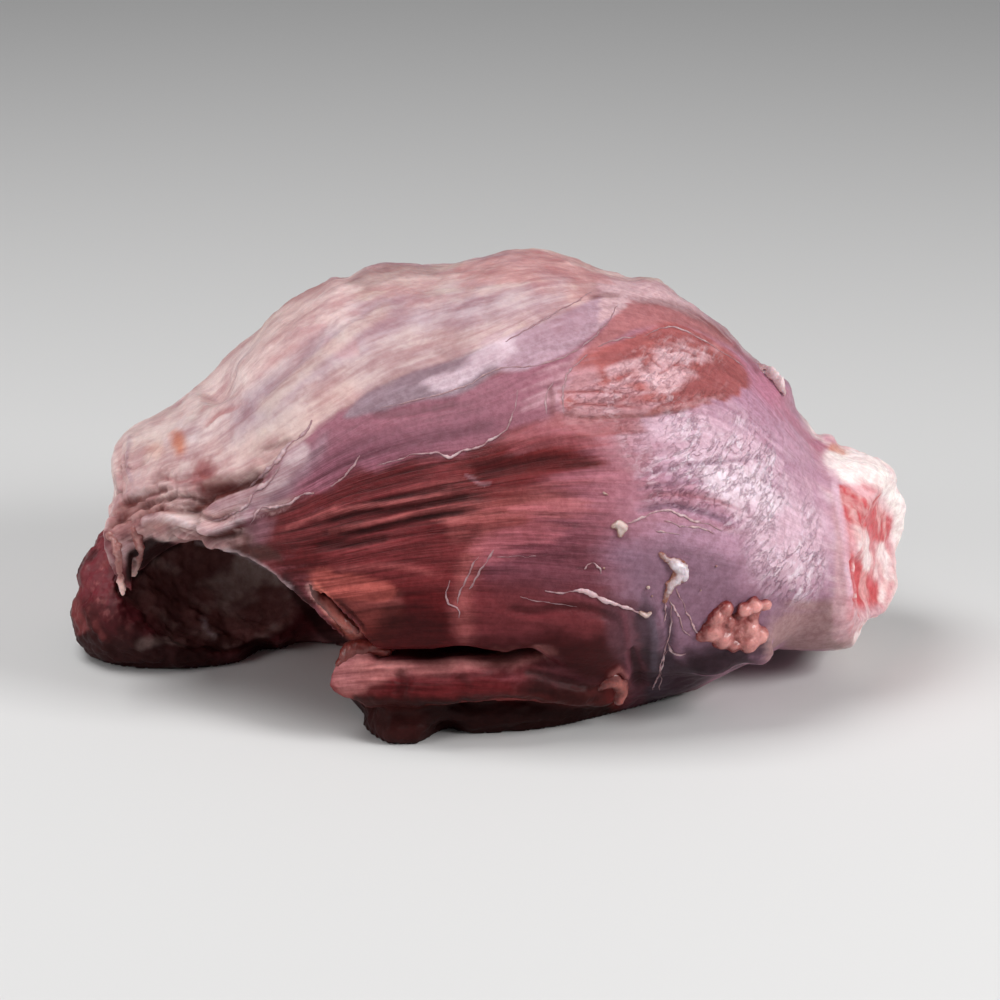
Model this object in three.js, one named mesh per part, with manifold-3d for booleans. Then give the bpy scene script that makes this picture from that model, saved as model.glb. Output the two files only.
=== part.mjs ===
// A raw leg of lamb, partly boned: one domed joint of meat with a fat cover over its top and back,
// a pocket under the overhanging chump end, a folded skirt along the front and a cut knuckle end.
// Millimetres, +Z up. +X runs from the chump end to the knuckle, -Y is the front. The leg lies on z = 0.
import * as THREE from "three";
import { mergeVertices } from "three/addons/utils/BufferGeometryUtils.js";
import Module from "manifold-3d";

const wasm = await Module();
wasm.setup();

// Driving dimensions
const chumpEnd = -109; // x where the domed body begins
const knuckleEnd = 103; // x where the domed body ends, under the knuckle
const waterline = 0.4; // share of a section's height at which it is widest
const endBluntness = 3.2; // 2 is an ellipse's end, more is blunter
const coverThickness = 1.6; // how far the fat cover stands above the bare muscle
const coverEdgeWidth = 12; // over which the cover thins out to nothing
const coverReturn = 9; // half the width of its edge along the ridge of the thigh
const endLean = 0.7; // how far swellings at the body's two ends push outward along it
const coverFoot = 8; // height above the board where the fat cover starts
const coverShoulder = 26; // height where it is at its full thickness
const floorDepth = 60; // of the block that trims the underside flat
const dishFloor = 0.56; // share of a hollowed end's radius that is its floor
const dishRim = 0.8; // share of its radius where its rim is highest

// The domed body's lines: at each x, its top, its underside, and its reach to the front and to the back.
const bodyLines = [
  { x: -109, top: 77, under: 28, front: -38, back: 58 },
  { x: -90, top: 81, under: 10, front: -50, back: 66 },
  { x: -62, top: 103, under: -5, front: -59, back: 72 },
  { x: -38, top: 112.5, under: -7, front: -65, back: 76 },
  { x: -16, top: 112.5, under: -7, front: -67, back: 78 },
  { x: 12, top: 117.5, under: -7, front: -68, back: 79 },
  { x: 34, top: 113, under: -7, front: -67, back: 78 },
  { x: 54, top: 108.5, under: -7, front: -64, back: 76 },
  { x: 74, top: 97, under: -2, front: -60, back: 70 },
  { x: 90, top: 87, under: 1, front: -54, back: 62 },
  { x: 103, top: 73, under: -1, front: -49, back: 52 },
];

// The front edge of the fat cover: how high above the board it runs at each x.
const coverEdge = [
  { x: -109, height: 40 },
  { x: -75, height: 50 },
  { x: -55, height: 66 },
  { x: -46, height: 86 },
  { x: -25, height: 96 },
  { x: 5, height: 103 },
  { x: 30, height: 112 },
  { x: 50, height: 122 },
  { x: 104, height: 130 },
];

// Muscles that swell the body and the hollows between them, as places on its skin.
const swellings = [
  { at: [62, -50, 55], reach: 34, rise: 3.5 }, // the round of the thigh
  { at: [30, -40, 98], reach: 22, rise: 1.8 }, // the muscle under the cover's edge
  { at: [8, -66, 36], reach: 24, rise: 2.5 }, // the front fold's upper muscle
  { at: [-22, -62, 68], reach: 26, rise: -2.4 }, // the flat of the flank
  { at: [44, -62, 22], reach: 11, rise: -4.5 }, // the seam below the round
  { at: [-75, 10, 92], reach: 22, rise: -5 }, // the dip behind the chump end
  { at: [-92, -22, 66], reach: 16, rise: 2.2 }, // the chump end's fat
  { at: [-30, 62, 62], reach: 30, rise: 3 }, // the back of the rump
  { at: [50, 60, 48], reach: 30, rise: 2.5 }, // the back of the thigh
  { at: [14, 74, 50], reach: 18, rise: -3.5 }, // the seam between them
  { at: [6, 66, 82], reach: 20, rise: -2.5 }, // and its upper end
  { at: [-74, 52, 70], reach: 22, rise: 2.5 }, // the fat behind the chump end
  { at: [84, 42, 62], reach: 18, rise: -2.5 }, // the dip above the knuckle, at the back
];

// Crossed ripples that leave every surface uneven, with the turn of each for a millimetre of x, y and z.
const ripples = [
  { height: 0.9, across: [0.133, 0, 0.077], along: [0, -0.062, 0.111] },
  { height: 0.6, across: [0.059, -0.125, 0.02], along: [0.03, 0, 0.154] },
];

function smoothStep(from, to, value) {
  return THREE.MathUtils.smoothstep(value, from, to);
}

// Reads every column of a table of stations smoothly at any x.
function linesThrough(table) {
  const names = Object.keys(table[0]).filter((name) => name !== "x");
  const spline = new THREE.CubicInterpolant(
    table.map((row) => row.x),
    table.flatMap((row) => names.map((name) => row[name])),
    names.length,
  );
  return (x) => {
    const values = spline.evaluate(x);
    return Object.fromEntries(names.map((name, i) => [name, values[i]]));
  };
}

// Gentle unevenness of soft meat: how far the surface stands out at a place.
function unevenness(point) {
  const wave = ([x, y, z]) => Math.sin(point.x * x + point.y * y + point.z * z);
  return ripples.reduce((sum, { height, across, along }) => sum + height * wave(across) * wave(along), 0);
}

// A unit sphere with its poles at the ends of a form, so that every form is one closed skin.
function skin(around, along, place) {
  const geometry = new THREE.SphereGeometry(1, around, along);
  const points = geometry.attributes.position;
  const unit = new THREE.Vector3();
  for (let i = 0; i < points.count; i++) {
    unit.fromBufferAttribute(points, i);
    const radius = Math.hypot(unit.x, unit.z);
    const across = radius > 1e-6 ? unit.x / radius : 1;
    const upward = radius > 1e-6 ? unit.z / radius : 0;
    const made = place(unit.y, radius > 1e-6 ? radius : 0, across, upward);
    points.setXYZ(i, made.x, made.y, made.z);
  }
  return geometry;
}

// How far a form has closed towards its ends, 1 in the middle and 0 at the poles.
function endRounding(share, bluntness) {
  return Math.pow(Math.max(0, 1 - Math.pow(Math.abs(share), bluntness)), 1 / bluntness);
}

// A long form that follows a path, with its own width and height at each share of the way.
// A dish hollows its far end, inside a rim. Its height is measured towards above.
function roll({ path, wide, high, bluntness = 2.2, around = 20, along = 14, dish = 0, above = [0, 0, 1] }) {
  const curve = new THREE.CatmullRomCurve3(path.map((point) => new THREE.Vector3(...point)));
  const sizeAt = linesThrough(wide.map((value, i) => ({ x: i / (wide.length - 1), wide: value, high: high[i] })));
  const vertical = new THREE.Vector3(...above);
  return skin(around, along, (lengthwise, radius, across, upward) => {
    const share = (1 + lengthwise) / 2;
    const centre = curve.getPointAt(share);
    const tangent = curve.getTangentAt(share);
    const side = new THREE.Vector3().crossVectors(tangent, vertical).normalize();
    const up = new THREE.Vector3().crossVectors(side, tangent).normalize();
    const rounding = radius ? endRounding(lengthwise, bluntness) : 0;
    const size = sizeAt(share);
    const swell = unevenness(centre);
    const right = across * (size.wide + swell) * rounding;
    const rise = upward * (size.high + swell) * rounding;
    const sunk = lengthwise > 0 ? dish * (1 - smoothStep(dishFloor, dishRim, rounding)) : 0;
    return centre
      .addScaledVector(tangent, -sunk)
      .addScaledVector(side, right)
      .addScaledVector(up, rise);
  });
}

// The domed body, from its lines, with its swellings and the step of the fat cover.
function domedBody() {
  const linesAt = linesThrough(bodyLines);
  const edgeAt = linesThrough(coverEdge);
  const middle = (chumpEnd + knuckleEnd) / 2;
  const halfLength = (knuckleEnd - chumpEnd) / 2;
  const outward = new THREE.Vector3();
  const bump = new THREE.Vector3();
  return skin(78, 46, (lengthwise, radius, across, upward) => {
    const x = middle + halfLength * lengthwise;
    const { top, under, front, back } = linesAt(x);
    const widest = under + (top - under) * waterline;
    const rounding = radius ? endRounding(lengthwise, endBluntness) : 0;
    const centreY = (front + back) / 2;
    const reachY = (back - front) / 2;
    const reachZ = upward > 0 ? top - widest : widest - under;
    const point = new THREE.Vector3(
      x,
      centreY - across * reachY * rounding,
      widest + upward * reachZ * rounding,
    );
    outward.set(endLean * lengthwise ** 3, -across, (upward * reachY) / reachZ).normalize();
    let rise = unevenness(point);
    for (const { at, reach, rise: height } of swellings) {
      const distance = bump.set(...at).distanceTo(point);
      rise += height * Math.exp(-((distance / reach) ** 2));
    }
    const overFront = smoothStep(0, coverEdgeWidth, point.z - edgeAt(x).height);
    const overBack = smoothStep(-coverReturn, coverReturn, point.y);
    const underCover = Math.max(overFront, overBack);
    const aboveBoard = smoothStep(coverFoot, coverShoulder, point.z);
    rise += coverThickness * underCover * aboveBoard;
    return point.addScaledVector(outward, rise);
  });
}

// The hollow left where the hip bone was taken out, under the overhanging chump end.
function bonePocket() {
  return roll({
    path: [
      [-105, -38, 6],
      [-84, -42, 6],
      [-57, -46, 4],
      [-34, -52, 2],
      [-20, -58, 0],
    ],
    wide: [30, 40, 58, 44, 16],
    high: [42, 50, 50, 40, 16],
    bluntness: 4.2,
    around: 30,
    along: 20,
  });
}

// The rounded end of meat that hangs down at the far left and stands on the board.
function chumpLobe() {
  return roll({
    path: [
      [-121, 0, 9],
      [-100, 9, 14],
      [-58, 43, 18],
    ],
    wide: [22, 32, 37],
    high: [21, 29, 32],
    bluntness: 2.3,
    around: 30,
    along: 18,
  });
}

// The pocket's inside, which runs back over the lobe's low front lip.
function pocketInside() {
  return roll({
    path: [
      [-106, -16, 27],
      [-84, -11, 27],
      [-44, -6, 19],
    ],
    wide: [18, 30, 26],
    high: [15, 20, 19],
    bluntness: 2.6,
    around: 22,
    along: 14,
  });
}

// The rolled edge of fat and membrane round the top of the pocket's mouth.
function pocketRim() {
  return roll({
    path: [
      [-106, -9, 47],
      [-102, -21, 51],
      [-90, -32, 54],
      [-74, -42, 55],
      [-59, -52, 51],
      [-47, -57, 41],
      [-38, -60, 30],
    ],
    wide: [3.5, 4.5, 4.2, 3.5, 2.8, 2.4, 2.2],
    high: [4, 4.5, 4.4, 3.5, 2.8, 2.4, 2.2],
    bluntness: 3,
    around: 12,
    along: 36,
  });
}

// A strand of fat that hangs from the rim at its left.
function hangingStrand() {
  return roll({
    path: [
      [-101, -22, 54],
      [-103, -31, 46],
      [-101, -33, 38],
      [-98, -30, 30],
    ],
    wide: [5, 3.6, 3, 2.4],
    high: [3, 2.4, 2, 2],
    bluntness: 3,
    around: 10,
    along: 14,
    above: [0, -1, 0],
  });
}

// The dark slit between the body and the folded skirt.
function skirtSlit() {
  return roll({
    path: [
      [-50, -68, 25],
      [-20, -74, 26],
      [10, -74, 25],
      [34, -68, 21],
    ],
    wide: [14, 26, 26, 10],
    high: [2.6, 3.4, 3.2, 1.6],
    around: 24,
    along: 16,
  });
}

// The skirt's upper fold, rolled over on itself along the front, with a round end at each side.
function skirtFold() {
  return roll({
    path: [
      [-41, -57, 17],
      [-31, -58, 17],
      [-14, -56, 17],
      [6, -57, 18],
      [22, -54, 14],
      [31, -50, 11],
      [39, -52, 13],
    ],
    wide: [8, 9, 12, 12, 9, 6, 8],
    high: [9, 8, 6, 6.5, 5, 4, 9],
    bluntness: 2.6,
    around: 20,
    along: 30,
  });
}

// The skirt's lower layer, which lies on the board under the fold.
function skirtBase() {
  return roll({
    path: [
      [-32.5, -50, 3],
      [-14, -41, 4],
      [12, -38, 4],
      [34, -31, 3],
      [50, -22, 2],
    ],
    wide: [21, 18.5, 17, 13, 10],
    high: [10, 11, 11, 8, 6],
    bluntness: 6,
    around: 24,
    along: 24,
  });
}

// The knuckle end, where the shank was cut away: red meat sunk inside a rim of fat.
function knuckle() {
  return roll({
    path: [
      [56, 14, 36],
      [88, 4, 34],
      [116, -7, 34.5],
    ],
    wide: [34, 40, 33],
    high: [26, 30, 25],
    bluntness: 5,
    around: 32,
    along: 30,
    dish: 6,
  });
}

// Lumps of loose fat on the lower front of the thigh.
function fatLumps() {
  const lumps = [
    { at: [62, -53, 20], size: [6.5, 5, 4] },
    { at: [69, -52, 25], size: [6, 5, 5.5] },
    { at: [74.5, -49, 31], size: [5, 4, 4.5] },
    { at: [75.5, -49, 22], size: [5.5, 5, 4.5] },
  ];
  return lumps.map(({ at, size }) =>
    new THREE.SphereGeometry(1, 12, 8).scale(...size).translate(...at),
  );
}

// Everything below the board's surface, so that the leg rests on a flat face.
function belowBoard() {
  return new THREE.BoxGeometry(400, 400, floorDepth).translate(0, 0, -floorDepth / 2);
}

function solidOf(geometry) {
  const bare = geometry.clone();
  bare.deleteAttribute("normal");
  bare.deleteAttribute("uv");
  const merged = mergeVertices(bare, 1e-3);
  return new wasm.Manifold(
    new wasm.Mesh({
      numProp: 3,
      vertProperties: merged.attributes.position.array,
      triVerts: new Uint32Array(merged.index.array),
    }),
  );
}

function geometryOf(solid) {
  const { vertProperties, triVerts } = solid.getMesh();
  const geometry = new THREE.BufferGeometry();
  geometry.setAttribute("position", new THREE.BufferAttribute(vertProperties, 3));
  geometry.setIndex(new THREE.BufferAttribute(triVerts, 1));
  geometry.computeVertexNormals();
  return geometry;
}

const join = (solid, form) => solid.add(solidOf(form));
const cut = (solid, form) => solid.subtract(solidOf(form));

const hollowed = [bonePocket(), skirtSlit()].reduce(cut, solidOf(domedBody()));
const chump = [pocketInside()].reduce(cut, join(hollowed, chumpLobe()));
const whole = [pocketRim(), hangingStrand(), skirtFold(), skirtBase(), knuckle(), ...fatLumps()].reduce(join, chump);
const resting = cut(whole, belowBoard());

const rawMeat = new THREE.MeshStandardMaterial({ color: 0x8a4a4c, roughness: 0.42, metalness: 0 });
const leg = new THREE.Mesh(geometryOf(resting), rawMeat);
leg.name = "leg_of_lamb";

// The origin is in the middle of the leg's length and depth, on the board.
const middle = new THREE.Box3().setFromObject(leg).getCenter(new THREE.Vector3());
leg.position.set(-middle.x, -middle.y, 0);

const part = new THREE.Group();
part.add(leg);

export default part;
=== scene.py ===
import bmesh
import bpy
import math
import numpy as np
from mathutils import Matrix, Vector
from mathutils.bvhtree import BVHTree


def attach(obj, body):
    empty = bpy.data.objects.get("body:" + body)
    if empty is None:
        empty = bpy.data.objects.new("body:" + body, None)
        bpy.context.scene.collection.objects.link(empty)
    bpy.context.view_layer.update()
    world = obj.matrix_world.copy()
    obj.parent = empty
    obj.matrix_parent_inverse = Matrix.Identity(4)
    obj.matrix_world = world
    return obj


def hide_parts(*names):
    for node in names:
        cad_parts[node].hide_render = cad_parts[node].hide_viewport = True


# Raw leg of lamb: the looks. The script works in millimetres and hands Blender metres.
# +X runs from the chump end to the knuckle, -Y is the front, the board is z = 0.
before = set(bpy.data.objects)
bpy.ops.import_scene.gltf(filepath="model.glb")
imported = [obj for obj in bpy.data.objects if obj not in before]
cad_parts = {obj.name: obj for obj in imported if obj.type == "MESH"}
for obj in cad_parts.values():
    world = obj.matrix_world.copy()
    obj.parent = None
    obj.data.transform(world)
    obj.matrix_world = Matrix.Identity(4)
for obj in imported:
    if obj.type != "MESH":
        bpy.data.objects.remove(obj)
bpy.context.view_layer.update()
scene = bpy.context.scene
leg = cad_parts["leg_of_lamb"]
mm = 0.001

view = {
    "aim": (3.4, -5.6, 49.0),  # point that the camera looks at
    "elevation": 20.0,  # degrees above the board
    "distance": 1000.0,
    "lens": 125.0,
    "sensor": 36.0,
    "frame": 1000,  # side of the camera's square frame, in whose pixels the outlines further down are placed
    "clip": 50.0,  # nearest distance that the camera shows
}
tilt = math.radians(view["elevation"])
ahead = np.array((0.0, math.cos(tilt), -math.sin(tilt)))
upward = np.array((0.0, math.sin(tilt), math.cos(tilt)))
rightward = np.array((1.0, 0.0, 0.0))
eye = np.array(view["aim"]) - ahead * view["distance"]
pixels = view["lens"] / view["sensor"] * view["frame"]


def makeCamera():
    lens = bpy.data.cameras.new("camera")
    lens.lens = view["lens"]
    lens.sensor_width = view["sensor"]
    lens.clip_start = view["clip"] * mm
    camera = bpy.data.objects.new("camera", lens)
    camera.location = Vector(eye) * mm
    camera.rotation_mode = "QUATERNION"
    camera.rotation_quaternion = Vector(ahead).to_track_quat("-Z", "Y")
    scene.collection.objects.link(camera)
    scene.camera = camera


def onFrame(points):  # where points fall in the camera's frame
    ray = points - eye
    depth = ray @ ahead
    across = view["frame"] / 2 + pixels * (ray @ rightward) / depth
    down = view["frame"] / 2 - pixels * (ray @ upward) / depth
    return np.stack((across, down), axis=1)


def rayThrough(spot):  # the line of sight through a place in the frame
    across = (spot[0] - view["frame"] / 2) / pixels
    down = (view["frame"] / 2 - spot[1]) / pixels
    ray = ahead + rightward * across + upward * down
    return ray / np.linalg.norm(ray)


makeCamera()
print("camera set")


def smooth(low, high, value):
    share = np.clip((value - low) / (high - low), 0.0, 1.0)
    return share * share * (3 - 2 * share)


def blend(first, second, share):
    return first + (second - first) * share[:, None]


# Large odd numbers that stir a cell's place into an even random number
scramble = {"x": 374761393, "y": 668265263, "z": 1440662683, "seed": 144665, "mix": 1274126177}
wholeWord = 2**32 - 1


def scattered(cells, seed):  # an even random number for each cell of a lattice
    mixed = cells[:, 0] * scramble["x"] + cells[:, 1] * scramble["y"] + cells[:, 2] * scramble["z"]
    mixed = (mixed + seed * scramble["seed"]) & wholeWord
    mixed = ((mixed ^ (mixed >> 13)) * scramble["mix"]) & wholeWord
    return (mixed ^ (mixed >> 16)) / wholeWord


def softNoise(points, size, seed):  # smooth noise between -1 and 1, with lumps about size wide
    spot = points / np.asarray(size, dtype=float)
    cell = np.floor(spot).astype(np.int64)
    part = spot - cell
    part = part * part * (3 - 2 * part)
    total = np.zeros(len(points))
    for corner in range(8):
        step = np.array([corner & 1, corner >> 1 & 1, corner >> 2 & 1])
        weight = np.prod(np.where(step, part, 1 - part), axis=1)
        total += weight * scattered(cell + step, seed)
    return total * 2 - 1


def roughNoise(points, size, seed, octaves=4, fade=0.55):  # soft noise with finer noise laid over it
    total = np.zeros(len(points))
    strength = 1.0
    reach = 0.0
    for octave in range(octaves):
        total += strength * softNoise(points, np.asarray(size) / 2**octave, seed + octave)
        reach += strength
        strength *= fade
    return total / reach


def curved(line, closed=False, steps=5):  # a smooth line through given points
    line = np.asarray(line, dtype=float)
    count = len(line)
    if count < 3:
        return line
    made = []
    last = count if closed else count - 1
    for i in range(last):
        if closed:
            a, b, c, d = (line[(i + k) % count] for k in (-1, 0, 1, 2))
        else:
            a, b, c, d = (line[min(max(i + k, 0), count - 1)] for k in (-1, 0, 1, 2))
        for t in np.arange(steps) / steps:
            made.append(0.5 * (2 * b + (c - a) * t + (2 * a - 5 * b + 4 * c - d) * t**2
                               + (3 * b - a - 3 * c + d) * t**3))
    if not closed:
        made.append(line[-1])
    return np.array(made)


# Which spots are near a line at all, how far each is from it, and the share of the way along it
def nearLine(spots, line, reach):
    low = line.min(axis=0) - reach
    high = line.max(axis=0) + reach
    near = np.nonzero(np.all((spots > low) & (spots < high), axis=1))[0]
    best = np.full(len(near), np.inf)
    share = np.zeros(len(near))
    lengths = np.linalg.norm(np.diff(line, axis=0), axis=1)
    walked = np.concatenate(([0.0], np.cumsum(lengths)))
    for i, (start, end) in enumerate(zip(line[:-1], line[1:])):
        along = end - start
        t = np.clip((spots[near] - start) @ along / max(along @ along, 1e-9), 0, 1)
        gap = np.linalg.norm(spots[near] - start - t[:, None] * along, axis=1)
        closer = gap < best
        best = np.where(closer, gap, best)
        share = np.where(closer, (walked[i] + t * lengths[i]) / walked[-1], share)
    return near, best, share


def insideOutline(spots, outline, reach):  # distance to a closed line through the points, positive inside
    line = curved(outline, closed=True, steps=4)
    ring = np.vstack((line, line[:1]))
    near, gap, _ = nearLine(spots, ring, reach)
    x, y = spots[near, 0], spots[near, 1]
    crossings = np.zeros(len(near), dtype=int)
    for (ax, ay), (bx, by) in zip(ring[:-1], ring[1:]):
        spans = (ay > y) != (by > y)
        height = by - ay if by != ay else 1e-9
        crossings += spans & (x < (bx - ax) * (y - ay) / height + ax)
    return near, np.where(crossings % 2 == 1, gap, -gap)


def toLinear(colour):  # a paint-chart colour, 0 to 255, as linear light
    share = np.asarray(colour, dtype=float) / 255
    return np.where(share <= 0.04045, share / 12.92, ((share + 0.055) / 1.055) ** 2.4)


meatSkin = {
    "voxel": 1.45,  # width of the even net of faces
    "rounding": 16,  # passes that melt the solid's facets
    "sharpRounding": 3,  # passes left to the thin forms
    "softness": 0.5,  # how far one pass draws a corner towards its neighbours
    "flat": (0.3, 1.2),  # stays on the board up to the first height, and moves freely from the second
    "frontFacing": 0.02,  # faces turned to the front at least this much are split once more
    "splitSoftness": 0.4,
    "splitPasses": 2,
}
# Lines of sight tell how far a spot lies in a hollow: how many, how long, and how far off the skin they start
hollows = {"rays": 14, "reach": 45.0, "start": 0.8, "aside": (0.37, 0.61, 0.7), "softness": 0.5, "passes": 4}

# The thin forms, which lose little to the rounding: middle and reach of each
thinForms = [
    ((-75, -45, 52), 26),  # rim of the pocket
    ((-102, -34, 42), 20),  # left end of the rim
    ((-48, -62, 38), 16),  # lip between the pocket and the skirt
    ((-15, -72, 22), 34),  # skirt, left
    ((20, -70, 20), 26),  # skirt, right
    ((112, -12, 34), 34),  # knuckle
]


def newPiece(name, mesh):
    piece = bpy.data.objects.new(name, mesh)
    scene.collection.objects.link(piece)
    return piece


def remeshed(mesh, voxel, name):  # the same form under an even net of faces
    piece = newPiece(name, mesh)
    netting = piece.modifiers.new("net", "REMESH")
    netting.mode = "VOXEL"
    netting.voxel_size = voxel * mm
    shown = piece.evaluated_get(bpy.context.evaluated_depsgraph_get())
    made = bpy.data.meshes.new_from_object(shown)
    bpy.data.objects.remove(piece)
    return made


def fetched(rows, name, width, kind=np.float32):  # one array of what Blender keeps row by row
    values = np.empty(len(rows) * width, dtype=kind)
    rows.foreach_get(name, values)
    return values.reshape(-1, width)


def placesOf(mesh):
    return fetched(mesh.vertices, "co", 3).astype(float) / mm


def setPlaces(mesh, places):
    mesh.vertices.foreach_set("co", (places * mm).astype(np.float32).ravel())
    mesh.update()


def normalsOf(mesh):
    return fetched(mesh.vertex_normals, "vector", 3).astype(float)


def edgesOf(mesh):
    return fetched(mesh.edges, "vertices", 2, np.int32)


def relaxed(values, edges, strength, passes):  # draws each corner's values towards its neighbours'
    count = len(values)
    starts = np.concatenate((edges[:, 0], edges[:, 1]))
    ends = np.concatenate((edges[:, 1], edges[:, 0]))
    neighbours = np.maximum(np.bincount(starts, minlength=count), 1)[:, None]
    for _ in range(passes):
        columns = [np.bincount(starts, weights=column[ends], minlength=count) for column in values.T]
        values = values + (np.stack(columns, axis=1) / neighbours - values) * strength[:, None]
    return values


def surfaceOf(mesh):  # what lines of sight can be cast against
    return BVHTree.FromPolygons([vertex.co for vertex in mesh.vertices],
                                [face.vertices for face in mesh.polygons])


def shelterOf(mesh, edges):  # 0 in the open, towards 1 deep in a hollow
    places = placesOf(mesh)
    normals = normalsOf(mesh)
    solid = surfaceOf(mesh)
    aside = np.cross(normals, hollows["aside"])
    aside /= np.linalg.norm(aside, axis=1)[:, None]
    along = np.cross(normals, aside)
    starts = (places + normals * hollows["start"]) * mm
    turn = math.pi * (3 - math.sqrt(5))  # the golden angle, which spreads the lines evenly
    count = hollows["rays"]
    shelter = np.zeros(len(places))
    for ray in range(count):
        rise = (ray + 0.5) / count
        level = math.sqrt(1 - rise * rise)
        lines = (aside * (math.cos(ray * turn) * level) + along * (math.sin(ray * turn) * level)
                 + normals * rise)
        for i, (start, line) in enumerate(zip(starts, lines)):
            if solid.ray_cast(Vector(start), Vector(line), hollows["reach"] * mm)[0] is not None:
                shelter[i] += 1.0 / count
    softness = np.full(len(places), hollows["softness"])
    return relaxed(shelter[:, None], edges, softness, hollows["passes"])[:, 0]


layerKinds = {"FLOAT": "value", "FLOAT_VECTOR": "vector", "FLOAT_COLOR": "color"}


def addLayer(mesh, kind, name, values):  # values for each corner, which the finishes read by their name
    attribute = mesh.attributes.new(name, kind, "POINT")
    attribute.data.foreach_set(layerKinds[kind], values.astype(np.float32).ravel())


def splitFront(mesh):  # finer faces where the front's detail goes
    cage = bmesh.new()
    cage.from_mesh(mesh)
    cage.normal_update()
    toFront = Vector(-ahead)
    faces = [face for face in cage.faces if face.normal.dot(toFront) > meatSkin["frontFacing"]]
    edges = {edge for face in faces for edge in face.edges}
    bmesh.ops.subdivide_edges(cage, edges=list(edges), cuts=1, use_grid_fill=True)
    cage.to_mesh(mesh)
    cage.free()
    mesh.update()


def dropCrumbs(mesh):  # keeps the one big form and drops what the net cut off
    edges = edgesOf(mesh)
    group = np.arange(len(mesh.vertices))
    settled = False
    while not settled:
        lowest = np.minimum(group[edges[:, 0]], group[edges[:, 1]])
        joined = group.copy()
        np.minimum.at(joined, edges[:, 0], lowest)
        np.minimum.at(joined, edges[:, 1], lowest)
        joined = joined[joined]
        settled = bool((joined == group).all())
        group = joined
    names, sizes = np.unique(group, return_counts=True)
    body = bmesh.new()
    body.from_mesh(mesh)
    crumbs = [corner for corner in body.verts if group[corner.index] != names[np.argmax(sizes)]]
    bmesh.ops.delete(body, geom=crumbs, context="VERTS")
    body.to_mesh(mesh)
    body.free()


def makeMeatSkin():
    mesh = remeshed(leg.data.copy(), meatSkin["voxel"], "raw_meat")
    dropCrumbs(mesh)
    places = placesOf(mesh)
    edges = edgesOf(mesh)
    thin = np.zeros(len(places))
    for middle, reach in thinForms:
        gap = np.linalg.norm(places - np.array(middle), axis=1)
        thin = np.maximum(thin, smooth(reach, reach * 0.6, gap))
    onBoard = places[:, 2] < meatSkin["flat"][0]
    places = relaxed(places, edges, meatSkin["softness"] * (1 - thin), meatSkin["rounding"])
    places = relaxed(places, edges, meatSkin["softness"] * thin, meatSkin["sharpRounding"])
    places[onBoard, 2] = 0.0
    setPlaces(mesh, places)
    addLayer(mesh, "FLOAT", "shelter", shelterOf(mesh, edges))
    splitFront(mesh)
    places = placesOf(mesh)
    strength = meatSkin["splitSoftness"] * smooth(*meatSkin["flat"], places[:, 2])
    setPlaces(mesh, relaxed(places, edgesOf(mesh), strength, meatSkin["splitPasses"]))
    return mesh


# Small pulls that bring the outline true: place in the camera's frame, reach there, and the pull in mm
outlinePulls = [
    ((216, 380), 30, (0.8, 0, -5.2)),
    ((106, 490), 34, (2.0, 0, 0)),
    ((72, 590), 26, (1.5, 0, 0)),
    ((268, 316), 26, (0, 0, 0.8)),
    ((350, 272), 22, (0, 0, -1.6)),
    ((658, 284), 34, (0, 0, 2.4)),
    ((782, 388), 26, (2.2, 0, 2.2)),
    ((828, 440), 16, (1.0, 0, 2.6)),
    ((902, 556), 34, (-2.0, 0, 0)),
    ((898, 488), 18, (-1.6, 0, -0.8)),
    ((357, 712), 14, (2.0, 0, 0)),
    ((882, 640), 34, (-4.0, 0, 3.4)),
    ((346, 682), 30, (-3.4, 0, -0.6)),
    ((372, 728), 40, (-1.0, -5.0, 0)),
    ((356, 662), 26, (1.0, 2.0, 6.5)),
    ((530, 670), 34, (0, 0, 4.0)),
    ((462, 670), 36, (0, 0, 2.4)),
    ((444, 738), 30, (0, 6.0, 0)),
    ((260, 655), 26, (0, 5.0, 0)),
]
# Share of the reach in which the nearest meat is found, and how far behind it a pull fades out
pulling = {"core": 0.6, "depth": (60, 25)}


def pulledTrue(places):  # each pull takes what lies nearest to the eye there, and leaves the far side
    inFrame = onFrame(places)
    away = (places - eye) @ ahead
    for at, reach, pull in outlinePulls:
        gap = np.linalg.norm(inFrame - np.array(at), axis=1)
        nearest = away[gap < reach * pulling["core"]].min()
        share = smooth(reach, 0, gap) * smooth(*pulling["depth"], away - nearest)
        places = places + share[:, None] * np.array(pull)
    return places


meatMesh = makeMeatSkin()
setPlaces(meatMesh, pulledTrue(placesOf(meatMesh)))
spots = placesOf(meatMesh)
normals = normalsOf(meatMesh)
shelter = fetched(meatMesh.attributes["shelter"].data, "value", 1)[:, 0].astype(float)
seen = onFrame(spots)
sight = spots - eye
sight /= np.linalg.norm(sight, axis=1)[:, None]
facing = -np.sum(sight * normals, axis=1)
front = smooth(0.0, 0.22, facing)
print("meat skin:", len(meatMesh.polygons), "faces")

# Lines that the fibres follow across the front, from the ridge down, in the camera's frame
grainLines = [
    [(60, 520), (120, 430), (200, 392), (300, 300), (400, 262), (500, 250), (600, 265), (700, 305),
     (800, 425), (900, 470)],
    [(60, 560), (160, 500), (220, 487), (304, 437), (388, 382), (473, 350), (554, 312), (630, 305),
     (735, 350), (810, 440), (900, 500)],
    [(60, 600), (200, 530), (285, 505), (344, 476), (417, 453), (487, 442), (560, 415), (640, 402),
     (715, 405), (790, 460), (900, 540)],
    [(60, 640), (200, 560), (315, 533), (377, 517), (445, 503), (530, 492), (620, 492), (725, 505),
     (805, 540), (900, 580)],
    [(60, 690), (250, 610), (330, 600), (420, 590), (520, 590), (640, 605), (740, 620), (830, 620),
     (900, 620)],
    [(60, 760), (330, 720), (420, 720), (520, 725), (620, 722), (740, 700), (900, 665)],
]
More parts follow.
